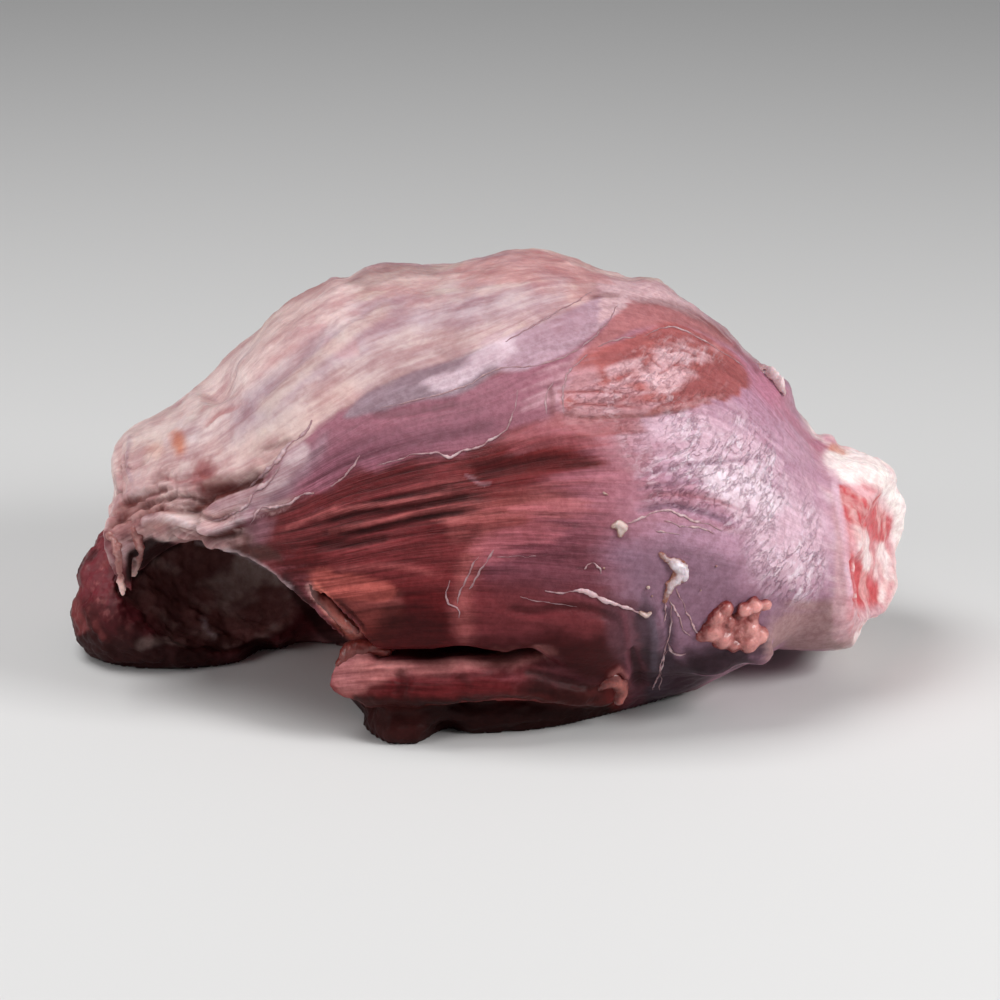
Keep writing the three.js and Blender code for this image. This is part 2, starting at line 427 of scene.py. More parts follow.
grain = {
    "step": 26.0,  # mm of grain between one line and the next
    "beyond": 90.0,  # rows of the frame to a step outside the lines
    "middle": (4.0, 46.0),  # y and z of the leg's middle line, which the round grain turns about
    "radius": 62.0,
    "slope": 0.22,
    "depth": 0.3,  # share of y that the front's grain takes up
    "height": 0.1,  # share of z that the round grain takes up
}


def frontGrain():  # along and across the fibres, by the lines above
    heights = []
    for line in grainLines:
        bent = curved(line, steps=6)
        heights.append(np.interp(seen[:, 0], bent[:, 0], bent[:, 1]))
    across = np.zeros(len(seen))
    for upper, lower in zip(heights[:-1], heights[1:]):
        across += np.clip((seen[:, 1] - upper) / (lower - upper), 0, 1)
    across += np.minimum(seen[:, 1] - heights[0], 0) / grain["beyond"]
    across += np.maximum(seen[:, 1] - heights[-1], 0) / grain["beyond"]
    return np.stack((spots[:, 0], across * grain["step"], spots[:, 1] * grain["depth"]), axis=1)


def roundGrain():  # along the leg and round it, for the sides and the back
    angle = np.arctan2(spots[:, 1] - grain["middle"][0], spots[:, 2] - grain["middle"][1])
    across = angle * grain["radius"] + spots[:, 0] * grain["slope"]
    return np.stack((spots[:, 0], across, spots[:, 2] * grain["height"]), axis=1)


grainFront = frontGrain()
grainRound = roundGrain()


def fibres(size, seed, octaves=3):  # noise drawn out along the fibres
    facingFront = roughNoise(grainFront, size, seed, octaves)
    turnedAway = roughNoise(grainRound, size, seed + 50, octaves)
    return turnedAway + (facingFront - turnedAway) * front


# Where things are on the leg. Each pair runs from where a part starts to where it is full,
# in mm along x, y or z, or as a share.
cover = {
    # how high its front edge runs at each x
    "edge": [(-109, 40), (-75, 50), (-55, 66), (-46, 86), (-25, 96), (5, 103), (30, 112), (50, 122),
             (104, 130)],
    "foot": (6.0, 22.0),  # heights over which it ends
    "wander": 5.0,
    "overFront": (-3, 5),
    "overBack": (-6, 8),
    "thinned": (36, 84),  # it thins out along the thigh
}
lobePart = {
    "stations": [(-121, -5.6, 9, 22), (-100, 3.4, 14, 32), (-58, 37.4, 18, 37)],  # x, y, z and radius
    "gap": (1.2, 1.02),  # distance from the middle line, in radii
    "x": (-46, -62),
    "z": (52, 38),
    "y": (14, -4),
    "tip": (-84, -98),  # x from which it goes all round
}
pocketPart = {"shelter": (0.42, 0.62), "x": (-38, -52), "z": (60, 50), "y": (40, 20)}
skirtPart = {"z": (19, 14), "left": (-54, -48), "right": (66, 50), "y": (-10, -24)}
chumpPart = {"x": (-58, -72), "low": (44, 52), "high": (72, 60), "y": (0, -14)}
# The knuckle's cut face: its middle, the way it faces, half its width and height, and where its meat shows
cutFace = {
    "middle": (113.0, -12.0, 34.5),
    "towards": (0.93, -0.366, 0.017),
    "wide": 33.0,
    "high": 25.0,
    "start": (92, 99),
    "lean": (0.12, 34),  # how much the start leans, and about which height
    "meat": (0.86, 0.76),  # share of the way from the middle to the rim
    "turned": (0.35, 0.6),  # how far the skin faces the cut's way
}


def within(part, **values):  # full where every value is inside its bounds
    share = 1.0
    for name, value in values.items():
        share = share * smooth(*part[name], value)
    return share


x, y, z = spots.T
wander = roughNoise(spots, 26, seed=11) * cover["wander"]
overFront = smooth(*cover["overFront"], z - np.interp(x, *zip(*cover["edge"])) + wander)
overBack = smooth(*cover["overBack"], y + wander * 1.6)
thinned = smooth(*cover["thinned"], x + wander * 3)
columns = list(zip(*lobePart["stations"]))
lobeY, lobeZ, lobeRadius = (np.interp(x, columns[0], column) for column in columns[1:])
lobe = within(lobePart, gap=np.hypot(y - lobeY, z - lobeZ) / lobeRadius, x=x, z=z)
lobe *= np.maximum(smooth(*lobePart["y"], y), smooth(*lobePart["tip"], x + wander * 2))
pocket = within(pocketPart, shelter=shelter, x=x, z=z, y=y)
pocket *= np.where(normals[:, 2] > -0.98, 1.0, 0.0)  # the flat underside is no part of it
coverFat = np.maximum(overFront, overBack) * smooth(*cover["foot"], z + wander) * (1 - lobe) * (1 - pocket)
faceWay = np.array(cutFace["towards"])
fromFace = spots - np.array(cutFace["middle"])
faceSide = fromFace @ np.cross((0, 0, 1), faceWay)
faceRadius = np.hypot(faceSide / cutFace["wide"], fromFace[:, 2] / cutFace["high"])
lean, leanFrom = cutFace["lean"]
knuckle = smooth(*cutFace["start"], x + lean * (z - leanFrom) + wander * 0.4)
cutMeat = smooth(*cutFace["meat"], faceRadius + roughNoise(spots, 8, seed=13) * 0.1)
cutMeat = cutMeat * smooth(*cutFace["turned"], normals @ faceWay) * knuckle
skirt = smooth(*skirtPart["z"], z) * smooth(*skirtPart["left"], x) * smooth(*skirtPart["right"], x)
skirt = skirt * smooth(*skirtPart["y"], y) * (1 - pocket)
folded = within(chumpPart, x=x, low=z, high=z, y=y) * (1 - pocket) * (1 - lobe)
under = smooth(5, 1.5, z)
depthShade = smooth(0.25, 0.75, shelter)

# Colours as a painter would name them, 0 to 255
palette = {
    "muscle": (128, 62, 66),
    "muscleLilac": (144, 90, 104),
    "muscleLilacDark": (120, 72, 86),
    "muscleGrey": (144, 116, 126),
    "flankRed": (84, 22, 24),
    "flankShade": (48, 11, 12),
    "flankStreakAndHighlight": (154, 82, 80),
    "flankMid": (112, 44, 46),
    "flankPurple": (112, 60, 70),
    "flankLowShade": (62, 14, 16),
    "hollowRed": (108, 32, 33),
    "streakOrange": (160, 90, 86),
    "patchRed": (166, 92, 90),
    "patchDeep": (154, 84, 84),
    "patchPink": (194, 152, 160),
    "patchHighlight": (226, 186, 192),
    "aboveRed": (168, 108, 110),
    "coverFat": (204, 176, 173),
    "coverPink": (204, 166, 163),
    "coverGrey": (176, 152, 160),
    "coverCream": (198, 174, 166),
    "coverRed": (188, 134, 134),
    "silver": (140, 116, 126),
    "silverPale": (170, 146, 156),
    "oval": (174, 142, 154),
    "roundLilac": (178, 134, 154),
    "roundPaleHighlight": (214, 180, 194),
    "roundShade": (138, 102, 120),
    "roundRed": (166, 104, 116),
    "roundEdge": (222, 190, 204),
    "rimFat": (190, 154, 152),
    "rimPaleHighlight": (214, 196, 200),
    "creaseRedShade": (94, 42, 38),
    "lobeRed": (112, 40, 48),
    "lobeBrown": (78, 34, 34),
    "lobeWarm": (132, 64, 64),
    "lobeDark": (50, 20, 20),
    "pocketShade": (100, 62, 60),
    "pocketGrey": (160, 138, 132),
    "seamBlueShade": (70, 54, 64),
    "knuckleFat": (250, 238, 234),
    "knucklePink": (222, 168, 174),
    "knuckleRed": (200, 84, 88),
    "knuckleRose": (206, 112, 118),
    "undersideCream": (164, 128, 126),
    "skirtHighlightPink": (192, 126, 122),
    "skirtRed": (136, 58, 56),
    "skirtShadow": (40, 14, 13),
    "nubRed": (118, 44, 42),
    "orangeSpot": (198, 118, 88),
    "backMuscle": (160, 106, 110),
    "ridgePale": (198, 164, 168),
    "coverPale": (228, 204, 201),
    "seamPlum": (96, 56, 64),
    "wetGrey": (116, 106, 120),
    "footRed": (84, 38, 36),
    "shadow": (40, 16, 16),
    "blotRed": (148, 84, 86),
    "coverShadeGrey": (168, 134, 140),
    "filmPale": (196, 172, 176),
    "silverBright": (216, 192, 202),
    "shoulderPink": (182, 118, 138),
    "lipPaleHighlight": (255, 204, 196),
    "wetHighlight": (240, 220, 230),
    "footShade": (46, 30, 36),
    "roseDeep": (158, 96, 104),
    "lipUnderShade": (104, 42, 36),
    "lipRose": (232, 134, 116),
    "nubGrey": (152, 112, 124),
    "knuckleEdge": (204, 162, 168),
    "chumpRed": (150, 84, 80),
    "hatchPink": (184, 106, 114),
    "lipWarm": (196, 100, 90),
    "crestBrown": (140, 110, 108),
    "lobePink": (168, 96, 96),
    "pocketRimShade": (78, 44, 40),
}
paint = {name: toLinear(colour) for name, colour in palette.items()}


def flatTint(name):  # one paint all over
    return np.tile(paint[name], (len(spots), 1))


def layered(tint, layers):  # lays paint after paint over a tint, each by its share
    for name, share in layers:
        tint = blend(tint, paint[name], share)
    return tint


def patches(low, high, size, seed):  # soft random patches, from none to full between two heights of the noise
    return smooth(low, high, roughNoise(spots, size, seed))


def fatTints():
    broad = roughNoise(spots * (0.6, 1.0, 1.3), 42, seed=41)
    bare = smooth(0.1, 0.4, broad + 0.25 * thinned * smooth(0, 30, y))
    return layered(flatTint("coverFat"), [
        ("coverPink", patches(-0.1, 0.35, size=15, seed=31) * 0.8),
        ("coverGrey", patches(0.0, 0.4, size=26, seed=35) * 0.8),
        ("coverCream", patches(0.1, 0.4, size=12, seed=38) * 0.8),
        ("backMuscle", bare * smooth(8, 34, y) * 0.6),
        ("silverPale", thinned * 0.7),
        ("coverPale", smooth(-40, -85, x + wander) * 0.45),
    ])


def cutMeatTints():
    fascia = smooth(0.06, 0.02, np.abs(roughNoise(spots, 17, seed=57, octaves=2)))
    return layered(flatTint("knuckleRed"), [
        ("knuckleRose", patches(-0.1, 0.3, size=7, seed=54)),
        ("knuckleFat", fascia * 0.8),
    ])


def groundColours():  # the broad colours all round, before the front's own patches
    tint = layered(flatTint("muscle"), [
        ("muscleLilac", patches(-0.2, 0.5, size=22, seed=21) * 0.6),
        ("roundLilac", smooth(14, 52, x + wander) * 0.8),
        ("undersideCream", under * 0.5),
    ])
    tint = layered(blend(tint, fatTints(), coverFat), [
        ("lobeRed", lobe),
        ("lobeBrown", lobe * patches(-0.1, 0.4, size=12, seed=44) * 0.8),
        ("lobeWarm", lobe * patches(0.2, 0.4, size=3.4, seed=46) * 0.6),
        ("lobePink", lobe * patches(0.22, 0.5, size=2.4, seed=48) * 0.7),
        ("lobeDark", lobe * patches(0.15, 0.45, size=5, seed=49) * 0.7),
        # painted shade: the lobe darkens towards the board
        ("lobeDark", lobe * smooth(26, 8, z + wander)),
        # painted shade: the inside of the pocket is painted a darker brown
        ("pocketShade", pocket),
        ("pocketGrey", pocket * patches(0.0, 0.4, size=14, seed=47) * 0.8),
        ("knuckleFat", knuckle),
        ("knucklePink", knuckle * patches(0.0, 0.4, size=9, seed=51) * 0.7),
    ])
    tint = blend(tint, cutMeatTints(), cutMeat * (1 - front))
    # painted shade: the skirt darkens towards the board
    return layered(tint, [("skirtRed", skirt), ("skirtShadow", skirt * smooth(15, 9, z))])


# Patches of colour on the front, in the order in which they are painted: paint, softness and raggedness
# of the edge, how far the fibres carry it, strength, and the outline in the camera's frame
frontWashes = {
    "flank": ("flankRed", 10, 5, 30, 1.0, [
        (236, 520), (300, 500), (352, 462), (417, 455), (500, 440), (560, 430), (616, 440), (622, 480),
        (600, 520), (580, 600), (610, 650), (630, 690), (560, 668), (440, 665), (345, 640), (305, 590),
        (262, 560)]),
    "lilacBand": ("muscleLilac", 4, 2, 0, 1.0, [
        (251, 524), (262, 507), (301, 496), (332, 486), (352, 464), (377, 472), (417, 454), (453, 457),
        (487, 443), (520, 425), (560, 418), (620, 420), (640, 400), (600, 380), (625, 305), (582, 340),
        (529, 362), (462, 388), (408, 398), (344, 410), (304, 437), (276, 462), (255, 490)]),
    "lilacShade": ("muscleLilacDark", 14, 5, 14, 0.9, [
        (300, 470), (350, 440), (420, 430), (480, 420), (500, 432), (450, 448), (380, 460), (330, 482)]),
    "lilacGrey": ("muscleGrey", 8, 5, 0, 0.8, [
        (240, 520), (256, 500), (285, 470), (318, 440), (330, 440), (300, 480), (275, 508)]),
    "flankBrown": ("flankRed", 9, 5, 16, 0.9, [
        (330, 492), (352, 474), (400, 466), (455, 462), (470, 478), (452, 500), (400, 506), (345, 512)]),
    "pinkBand": ("patchPink", 10, 6, 26, 0.7, [
        (524, 400), (566, 376), (596, 350), (612, 350), (590, 380), (606, 410), (660, 420), (650, 446),
        (600, 440), (556, 420), (530, 412)]),
    "roundBlush": ("roundRed", 42, 8, 40, 0.85, [
        (560, 436), (620, 416), (690, 405), (704, 470), (660, 556), (604, 560), (560, 520)]),
    "round": ("roundLilac", 36, 8, 30, 1.0, [
        (652, 425), (660, 408), (700, 405), (750, 380), (765, 366), (800, 420), (842, 470), (850, 600),
        (800, 640), (720, 650), (662, 640), (650, 560), (640, 500)]),
    # pale film on the round, partly painted highlight
    "blushPale": ("roundPaleHighlight", 16, 9, 26, 0.3, [
        (584, 424), (610, 411), (650, 410), (670, 440), (656, 470), (620, 468), (600, 446)]),
    "roundLeftRose": ("roseDeep", 12, 8, 26, 0.6, [
        (596, 436), (630, 440), (648, 456), (640, 484), (606, 482), (590, 462)]),
    "roundRed": ("roundRed", 16, 6, 40, 0.5, [
        (606, 466), (650, 474), (700, 484), (740, 494), (745, 518), (700, 512), (640, 508), (604, 500)]),
    # pale film on the round, partly painted highlight
    "roundPaleHighlight": ("roundPaleHighlight", 22, 10, 22, 0.9, [
        (656, 418), (690, 408), (740, 424), (772, 456), (764, 484), (730, 486), (690, 474), (656, 456),
        (646, 436)]),
    # pale film on the round's lower part, partly painted highlight
    "roundPaleHighlightLow": ("roundPaleHighlight", 18, 10, 0, 1.0, [
        (750, 500), (790, 486), (822, 520), (828, 560), (806, 590), (775, 586), (752, 560), (744, 530)]),
    # painted highlight: a wet glare on the round
    "wetHighlightPatch": ("wetHighlight", 11, 9, 16, 0.7, [
        (700, 472), (730, 468), (764, 474), (774, 500), (752, 514), (716, 502)]),
    "roundSmooth": ("roundEdge", 12, 4, 0, 0.15, [
        (770, 400), (800, 430), (832, 470), (838, 520), (840, 600), (832, 600), (828, 540), (800, 480),
        (776, 440)]),
    "flankPurple": ("flankPurple", 28, 9, 12, 1.0, [
        (476, 560), (520, 540), (560, 520), (588, 520), (604, 550), (606, 600), (612, 634), (560, 640),
        (480, 634)]),
    "flankPlum": ("flankMid", 20, 8, 10, 0.8, [
        (470, 586), (540, 596), (596, 604), (616, 626), (600, 640), (540, 640), (474, 636)]),
    "roundLow": ("roundShade", 20, 9, 0, 1.0, [
        (600, 548), (630, 536), (660, 540), (700, 546), (735, 560), (756, 590), (830, 612), (770, 660),
        (690, 690), (640, 720), (630, 650), (618, 600)]),
    # painted shade: the lower flank is darkened
    "flankLowShade": ("flankLowShade", 14, 7, 0, 1.0, [
        (480, 640), (540, 634), (596, 632), (620, 644), (628, 690), (600, 692), (560, 668), (480, 657)]),
    "orangeStreaks": ("streakOrange", 7, 5, 34, 0.45, [
        (440, 508), (490, 496), (560, 486), (600, 492), (570, 508), (520, 518), (480, 526), (450, 520)]),
    "flankLeft": ("flankMid", 9, 6, 20, 0.8, [
        (262, 535), (300, 512), (345, 500), (400, 480), (460, 462), (470, 474), (400, 500), (340, 520),
        (300, 545)]),
    "flankUnder": ("flankMid", 10, 6, 18, 0.8, [
        (320, 548), (370, 540), (440, 536), (470, 548), (450, 580), (400, 580), (340, 574)]),
    "hollow": ("hollowRed", 12, 3, 34, 1.0, [
        (462, 474), (490, 452), (530, 443), (572, 444), (596, 454), (584, 466), (556, 480), (500, 488),
        (470, 482)]),
    # painted shade in the core of the hollow
    "hollowCore": ("flankShade", 9, 3, 34, 0.5, [
        (470, 476), (500, 462), (540, 456), (578, 457), (576, 464), (550, 474), (510, 480), (480, 482)]),
    "lip": ("streakOrange", 5, 4, 10, 0.4, [
        (304, 574), (322, 573), (352, 579), (392, 590), (404, 602), (394, 616), (376, 628), (358, 621),
        (338, 606), (318, 588)]),
    "lipFill": ("lipWarm", 4, 3, 8, 0.55, [
        (306, 576), (330, 571), (360, 577), (392, 587), (386, 600), (364, 603), (344, 600), (330, 600),
        (316, 594)]),
    # painted shade on the underside of the lip
    "lipUnder": ("lipUnderShade", 6, 6, 8, 0.6, [
        (332, 602), (346, 603), (366, 606), (386, 602), (404, 612), (400, 630), (380, 642), (360, 636),
        (344, 624), (334, 614)]),
    "lipEdge": ("lipRose", 3, 2, 0, 0.7, [
        (312, 584), (321, 590), (336, 606), (350, 620), (362, 634), (352, 640), (338, 626), (318, 606)]),
    "lipOut": ("shadow", 4, 2, 0, 0.85, [
        (284, 572), (300, 584), (311, 604), (324, 618), (340, 632), (352, 644), (340, 650), (322, 638),
        (302, 614), (288, 592)]),
    # painted shade: the flank is darkened beside and under the lip
    "lipDark": ("flankShade", 15, 5, 10, 0.75, [
        (384, 602), (400, 605), (430, 612), (450, 620), (448, 640), (400, 644), (370, 638), (376, 622)]),
    "streakLow": ("flankStreakAndHighlight", 8, 6, 20, 0.55, [
        (446, 518), (480, 512), (522, 514), (540, 524), (516, 534), (480, 540), (452, 536)]),
    "browPink": ("hatchPink", 8, 6, 26, 0.4, [
        (500, 432), (540, 420), (596, 422), (606, 438), (560, 444), (510, 444)]),
    "grooveEnd": ("flankStreakAndHighlight", 8, 6, 26, 0.3, [
        (404, 490), (440, 482), (484, 482), (490, 500), (450, 510), (410, 510)]),
    "upright": ("patchRed", 9, 4, 0, 0.6, [
        (456, 566), (474, 540), (496, 528), (486, 560), (474, 590), (474, 636), (462, 640), (454, 610)]),
    "hatch": ("hatchPink", 8, 5, 34, 0.6, [
        (472, 548), (490, 530), (540, 524), (556, 534), (530, 552), (494, 562)]),
    "aboveMuscle": ("aboveRed", 4, 2, 0, 1.0, [
        (606, 326), (624, 300), (640, 298), (670, 302), (700, 315), (730, 335), (748, 358), (715, 340),
        (680, 328), (640, 330), (604, 346), (580, 360), (590, 345)]),
    "openPatch": ("patchRed", 4, 3, 8, 1.0, [
        (564, 388), (580, 362), (604, 348), (640, 332), (670, 326), (700, 336), (730, 354), (748, 374),
        (740, 392), (700, 404), (660, 414), (600, 418), (566, 412)]),
    "patchDeep": ("patchDeep", 5, 5, 10, 1.0, [
        (700, 366), (725, 358), (747, 376), (735, 392), (690, 402), (656, 404), (668, 390), (690, 378)]),
    "patchTopRed": ("patchDeep", 4, 4, 8, 0.8, [
        (606, 352), (640, 338), (672, 330), (706, 340), (690, 344), (650, 344), (620, 360)]),
    "patchStripes": ("patchPink", 4, 4, 34, 0.6, [
        (564, 386), (600, 376), (640, 380), (650, 408), (600, 416), (566, 412)]),
    "patchEdgeLow": ("patchDeep", 6, 5, 20, 0.6, [
        (548, 404), (566, 414), (600, 422), (640, 420), (634, 432), (590, 430), (552, 424)]),
    "patchLeftPale": ("patchPink", 5, 4, 0, 0.6, [
        (562, 392), (568, 374), (584, 364), (600, 368), (598, 384), (580, 396)]),
    # painted highlight: gloss on the open patch
    "patchPale": ("patchHighlight", 7, 7, 12, 0.8, [
        (604, 384), (620, 374), (640, 366), (652, 354), (672, 346), (694, 346), (712, 352), (704, 362),
        (680, 364), (690, 374), (672, 386), (650, 388), (636, 380), (620, 388)]),
    "filmPale": ("filmPale", 5, 5, 0, 0.85, [
        (250, 508), (264, 484), (280, 464), (294, 448), (304, 442), (308, 454), (294, 472), (276, 488),
        (262, 506)]),
    "silverBand": ("silver", 3, 1, 0, 1.0, [
        (344, 418), (378, 412), (408, 403), (462, 393), (501, 371), (529, 368), (500, 345), (473, 352),
        (430, 366), (397, 377), (368, 392)]),
    "oval": ("oval", 3, 1, 0, 1.0, [
        (501, 371), (529, 368), (557, 358), (582, 344), (608, 321), (622, 302), (612, 292), (582, 304),
        (540, 322), (505, 338), (498, 356)]),
    "silverPale": ("silverBright", 7, 6, 14, 0.75, [
        (430, 386), (448, 372), (474, 360), (492, 344), (510, 338), (518, 352), (500, 366), (474, 378),
        (452, 390)]),
    "ridgeStrip": ("ridgePale", 3, 2, 8, 1.0, [
        (604, 276), (640, 278), (690, 296), (724, 322), (738, 340), (706, 320), (672, 305), (634, 301),
        (622, 308), (606, 322), (590, 334), (600, 310)]),
    "shoulderPink": ("shoulderPink", 6, 4, 8, 0.85, [
        (736, 342), (752, 350), (772, 374), (794, 404), (814, 432), (832, 446), (822, 458), (800, 438),
        (776, 412), (756, 390), (744, 368)]),
    "tornEdge": ("coverRed", 5, 7, 14, 0.65, [
        (456, 270), (480, 258), (520, 250), (556, 252), (600, 268), (602, 280), (560, 284), (500, 284),
        (466, 284)]),
    "coverMiddle": ("coverGrey", 18, 12, 14, 0.8, [
        (215, 430), (260, 380), (310, 335), (380, 305), (470, 296), (560, 288), (540, 315), (460, 340),
        (380, 350), (320, 390), (262, 430)]),
    "coverWarm": ("coverCream", 10, 8, 14, 0.45, [
        (250, 440), (290, 400), (340, 360), (380, 335), (450, 320), (480, 335), (440, 352), (390, 374),
        (335, 412), (290, 446), (262, 470)]),
    "coverLight": ("coverPale", 12, 10, 10, 0.6, [
        (192, 408), (222, 378), (262, 346), (284, 350), (264, 380), (238, 408), (208, 430)]),
    "coverLightTop": ("coverPale", 14, 12, 12, 0.7, [
        (240, 372), (272, 334), (306, 306), (344, 290), (352, 304), (330, 330), (300, 356), (270, 380),
        (250, 392)]),
    "coverBlush": ("coverPink", 8, 10, 10, 0.4, [
        (262, 340), (290, 312), (312, 300), (318, 316), (290, 345), (266, 366)]),
    "chumpPink": ("coverPink", 8, 8, 0, 0.4, [
        (112, 480), (150, 470), (200, 478), (250, 486), (250, 505), (190, 512), (130, 520), (108, 530)]),
    # painted shade: dark red in the chump's crease, with the meat's own red there
    "chumpCrease": ("creaseRedShade", 4, 4, 6, 0.7, [
        (192, 506), (206, 494), (226, 486), (258, 478), (262, 484), (236, 492), (212, 502), (198, 512)]),
    "chumpBlot": ("blotRed", 8, 12, 0, 0.9, [
        (192, 472), (204, 460), (220, 463), (232, 474), (232, 486), (214, 494), (198, 492)]),
    "chumpRedden": ("chumpRed", 9, 11, 0, 0.6, [
        (108, 516), (124, 500), (150, 497), (168, 506), (162, 520), (140, 529), (114, 538)]),
    # painted shade: grey-lilac under the fat cover's edge
    "coverBelow": ("coverShadeGrey", 4, 4, 0, 0.85, [
        (204, 508), (220, 498), (244, 489), (264, 480), (260, 494), (242, 508), (222, 514)]),
    "crestShade": ("crestBrown", 5, 6, 0, 0.55, [
        (350, 282), (370, 266), (410, 260), (440, 262), (434, 276), (400, 277), (370, 288)]),
    "spotLarge": ("orangeSpot", 6, 3, 0, 0.85, [
        (171, 430), (180, 431), (184, 455), (176, 458), (170, 445)]),
    "spotSmall": ("orangeSpot", 5, 4, 0, 0.3, [(145, 448), (158, 442), (164, 450), (152, 458)]),
    # painted shade along the pocket's top edge
    "rimShade": ("pocketRimShade", 3, 4, 0, 0.9, [
        (190, 540), (212, 534), (236, 532), (258, 541), (284, 558), (262, 563), (240, 556), (214, 550),
        (196, 549)]),
    # painted highlight along the top of the fold's ridge
    "foldRight": ("skirtHighlightPink", 5, 4, 6, 0.4, [
        (476, 657), (500, 655), (524, 653), (544, 650), (556, 655), (536, 662), (506, 667), (480, 667)]),
    "nubGrey": ("nubGrey", 6, 8, 0, 0.5, [(246, 524), (262, 520), (278, 528), (270, 543), (250, 541)]),
    "strandLeft": ("lobeRed", 4, 4, 0, 0.8, [(98, 528), (111, 530), (117, 546), (116, 562), (102, 552)]),
    "lobeShadow": ("shadow", 7, 6, 0, 0.45, [
        (113, 566), (124, 574), (136, 602), (150, 642), (122, 646), (114, 622), (109, 594)]),
    "strandGap": ("shadow", 3, 3, 0, 1.0, [
        (136, 546), (144, 536), (156, 535), (170, 541), (182, 547), (162, 557), (142, 574), (130, 582),
        (124, 572), (128, 552)]),
    "roundFoot": ("footShade", 8, 6, 8, 0.9, [
        (640, 646), (664, 650), (690, 656), (716, 652), (740, 658), (764, 662), (806, 658), (846, 648),
        (860, 664), (700, 716), (640, 730)]),
    "seamSide": ("seamPlum", 7, 6, 0, 0.9, [
        (600, 600), (622, 602), (640, 612), (646, 650), (644, 706), (628, 712), (620, 680), (608, 640)]),
    # painted shade: the dark gap of the seam between the muscles
    "seam": ("seamBlueShade", 6, 8, 0, 0.6, [
        (640, 606), (650, 600), (662, 620), (672, 650), (668, 690), (650, 708), (644, 700), (648, 664),
        (642, 632)]),
    "seamCore": ("shadow", 5, 9, 0, 0.42, [
        (638, 616), (648, 609), (657, 620), (661, 648), (657, 680), (648, 696), (641, 680), (645, 650)]),
    "lumpShade": ("footShade", 6, 5, 0, 0.8, [
        (684, 648), (716, 650), (744, 644), (766, 634), (776, 648), (742, 664), (700, 670)]),
    "kneeUnder": ("undersideCream", 8, 5, 10, 0.85, [
        (776, 618), (800, 606), (842, 606), (862, 622), (850, 646), (800, 658), (768, 664), (764, 644)]),
    "knuckleTopFat": ("knuckleFat", 6, 4, 0, 1.0, [
        (826, 452), (850, 450), (890, 460), (900, 500), (908, 540), (892, 560), (890, 520), (876, 492),
        (846, 486), (836, 478)]),
    "knuckleFace": ("knucklePink", 5, 3, 0, 0.9, [
        (844, 490), (866, 484), (886, 500), (894, 540), (890, 590), (876, 620), (856, 634), (846, 600),
        (848, 550)]),
    "knuckleFascia": ("knuckleFat", 3, 4, 0, 0.6, [
        (852, 508), (862, 512), (872, 540), (878, 570), (870, 590), (864, 566), (856, 540)]),
    "knuckleEdge": ("knuckleEdge", 4, 3, 0, 0.85, [
        (834, 492), (844, 498), (848, 540), (849, 600), (858, 622), (840, 640), (834, 600), (836, 540)]),
    "knuckleArc": ("knuckleRed", 3, 3, 5, 1.0, [
        (840, 491), (852, 489), (862, 495), (870, 505), (881, 510), (889, 521), (888, 537), (880, 544),
        (871, 538), (862, 530), (853, 526), (846, 519), (842, 506)]),
    "knuckleLowRed": ("knuckleRed", 3, 3, 0, 1.0, [
        (849, 557), (857, 560), (868, 571), (880, 586), (880, 600), (868, 612), (858, 611), (850, 590)]),
    "knuckleSide": ("knuckleFat", 4, 5, 0, 0.75, [
        (879, 548), (888, 550), (890, 580), (885, 604), (877, 612), (881, 584)]),
    "knuckleArcEnd": ("knuckleRed", 4, 4, 0, 0.7, [
        (866, 499), (880, 505), (890, 520), (889, 538), (880, 545), (871, 536), (866, 516)]),
    "knuckleLow": ("knuckleEdge", 6, 5, 0, 0.8, [
        (840, 614), (860, 606), (884, 600), (884, 616), (862, 632), (840, 642)]),
    # painted highlight: the top of the skirt's fold is painted pink
    "skirtTop": ("skirtHighlightPink", 5, 5, 6, 0.6, [
        (334, 662), (345, 646), (360, 650), (400, 662), (450, 658), (490, 650), (532, 650), (540, 658),
        (520, 666), (470, 672), (440, 674), (396, 676), (376, 690), (346, 694), (334, 682)]),
    # painted shade: the lower half of the skirt's fold is painted dark red
    "skirtLow": ("flankRed", 5, 4, 8, 0.9, [
        (378, 684), (440, 678), (500, 676), (540, 680), (580, 694), (600, 706), (560, 712), (480, 706),
        (372, 702)]),
    # painted shadow: the base under the skirt's fold is painted near black
    "skirtFoot": ("skirtShadow", 4, 4, 0, 0.95, [
        (352, 702), (372, 696), (440, 697), (520, 703), (560, 710), (612, 714), (620, 740), (480, 760),
        (360, 760)]),
    "footLeft": ("footRed", 7, 5, 0, 0.2, [(360, 698), (400, 699), (424, 716), (408, 744), (366, 744)]),
    "skirtShade": ("flankShade", 7, 5, 6, 0.45, [
        (530, 664), (576, 664), (604, 676), (606, 696), (570, 702), (540, 696), (520, 684)]),
    # painted shade: the right part of the skirt's roll is darkened
    "skirtRight": ("skirtShadow", 12, 6, 6, 0.85, [
        (530, 680), (570, 682), (602, 690), (612, 716), (540, 716), (500, 704)]),
    "nub": ("nubRed", 7, 3, 0, 0.6, [
        (606, 686), (610, 674), (619, 668), (627, 680), (628, 702), (614, 708)]),
}

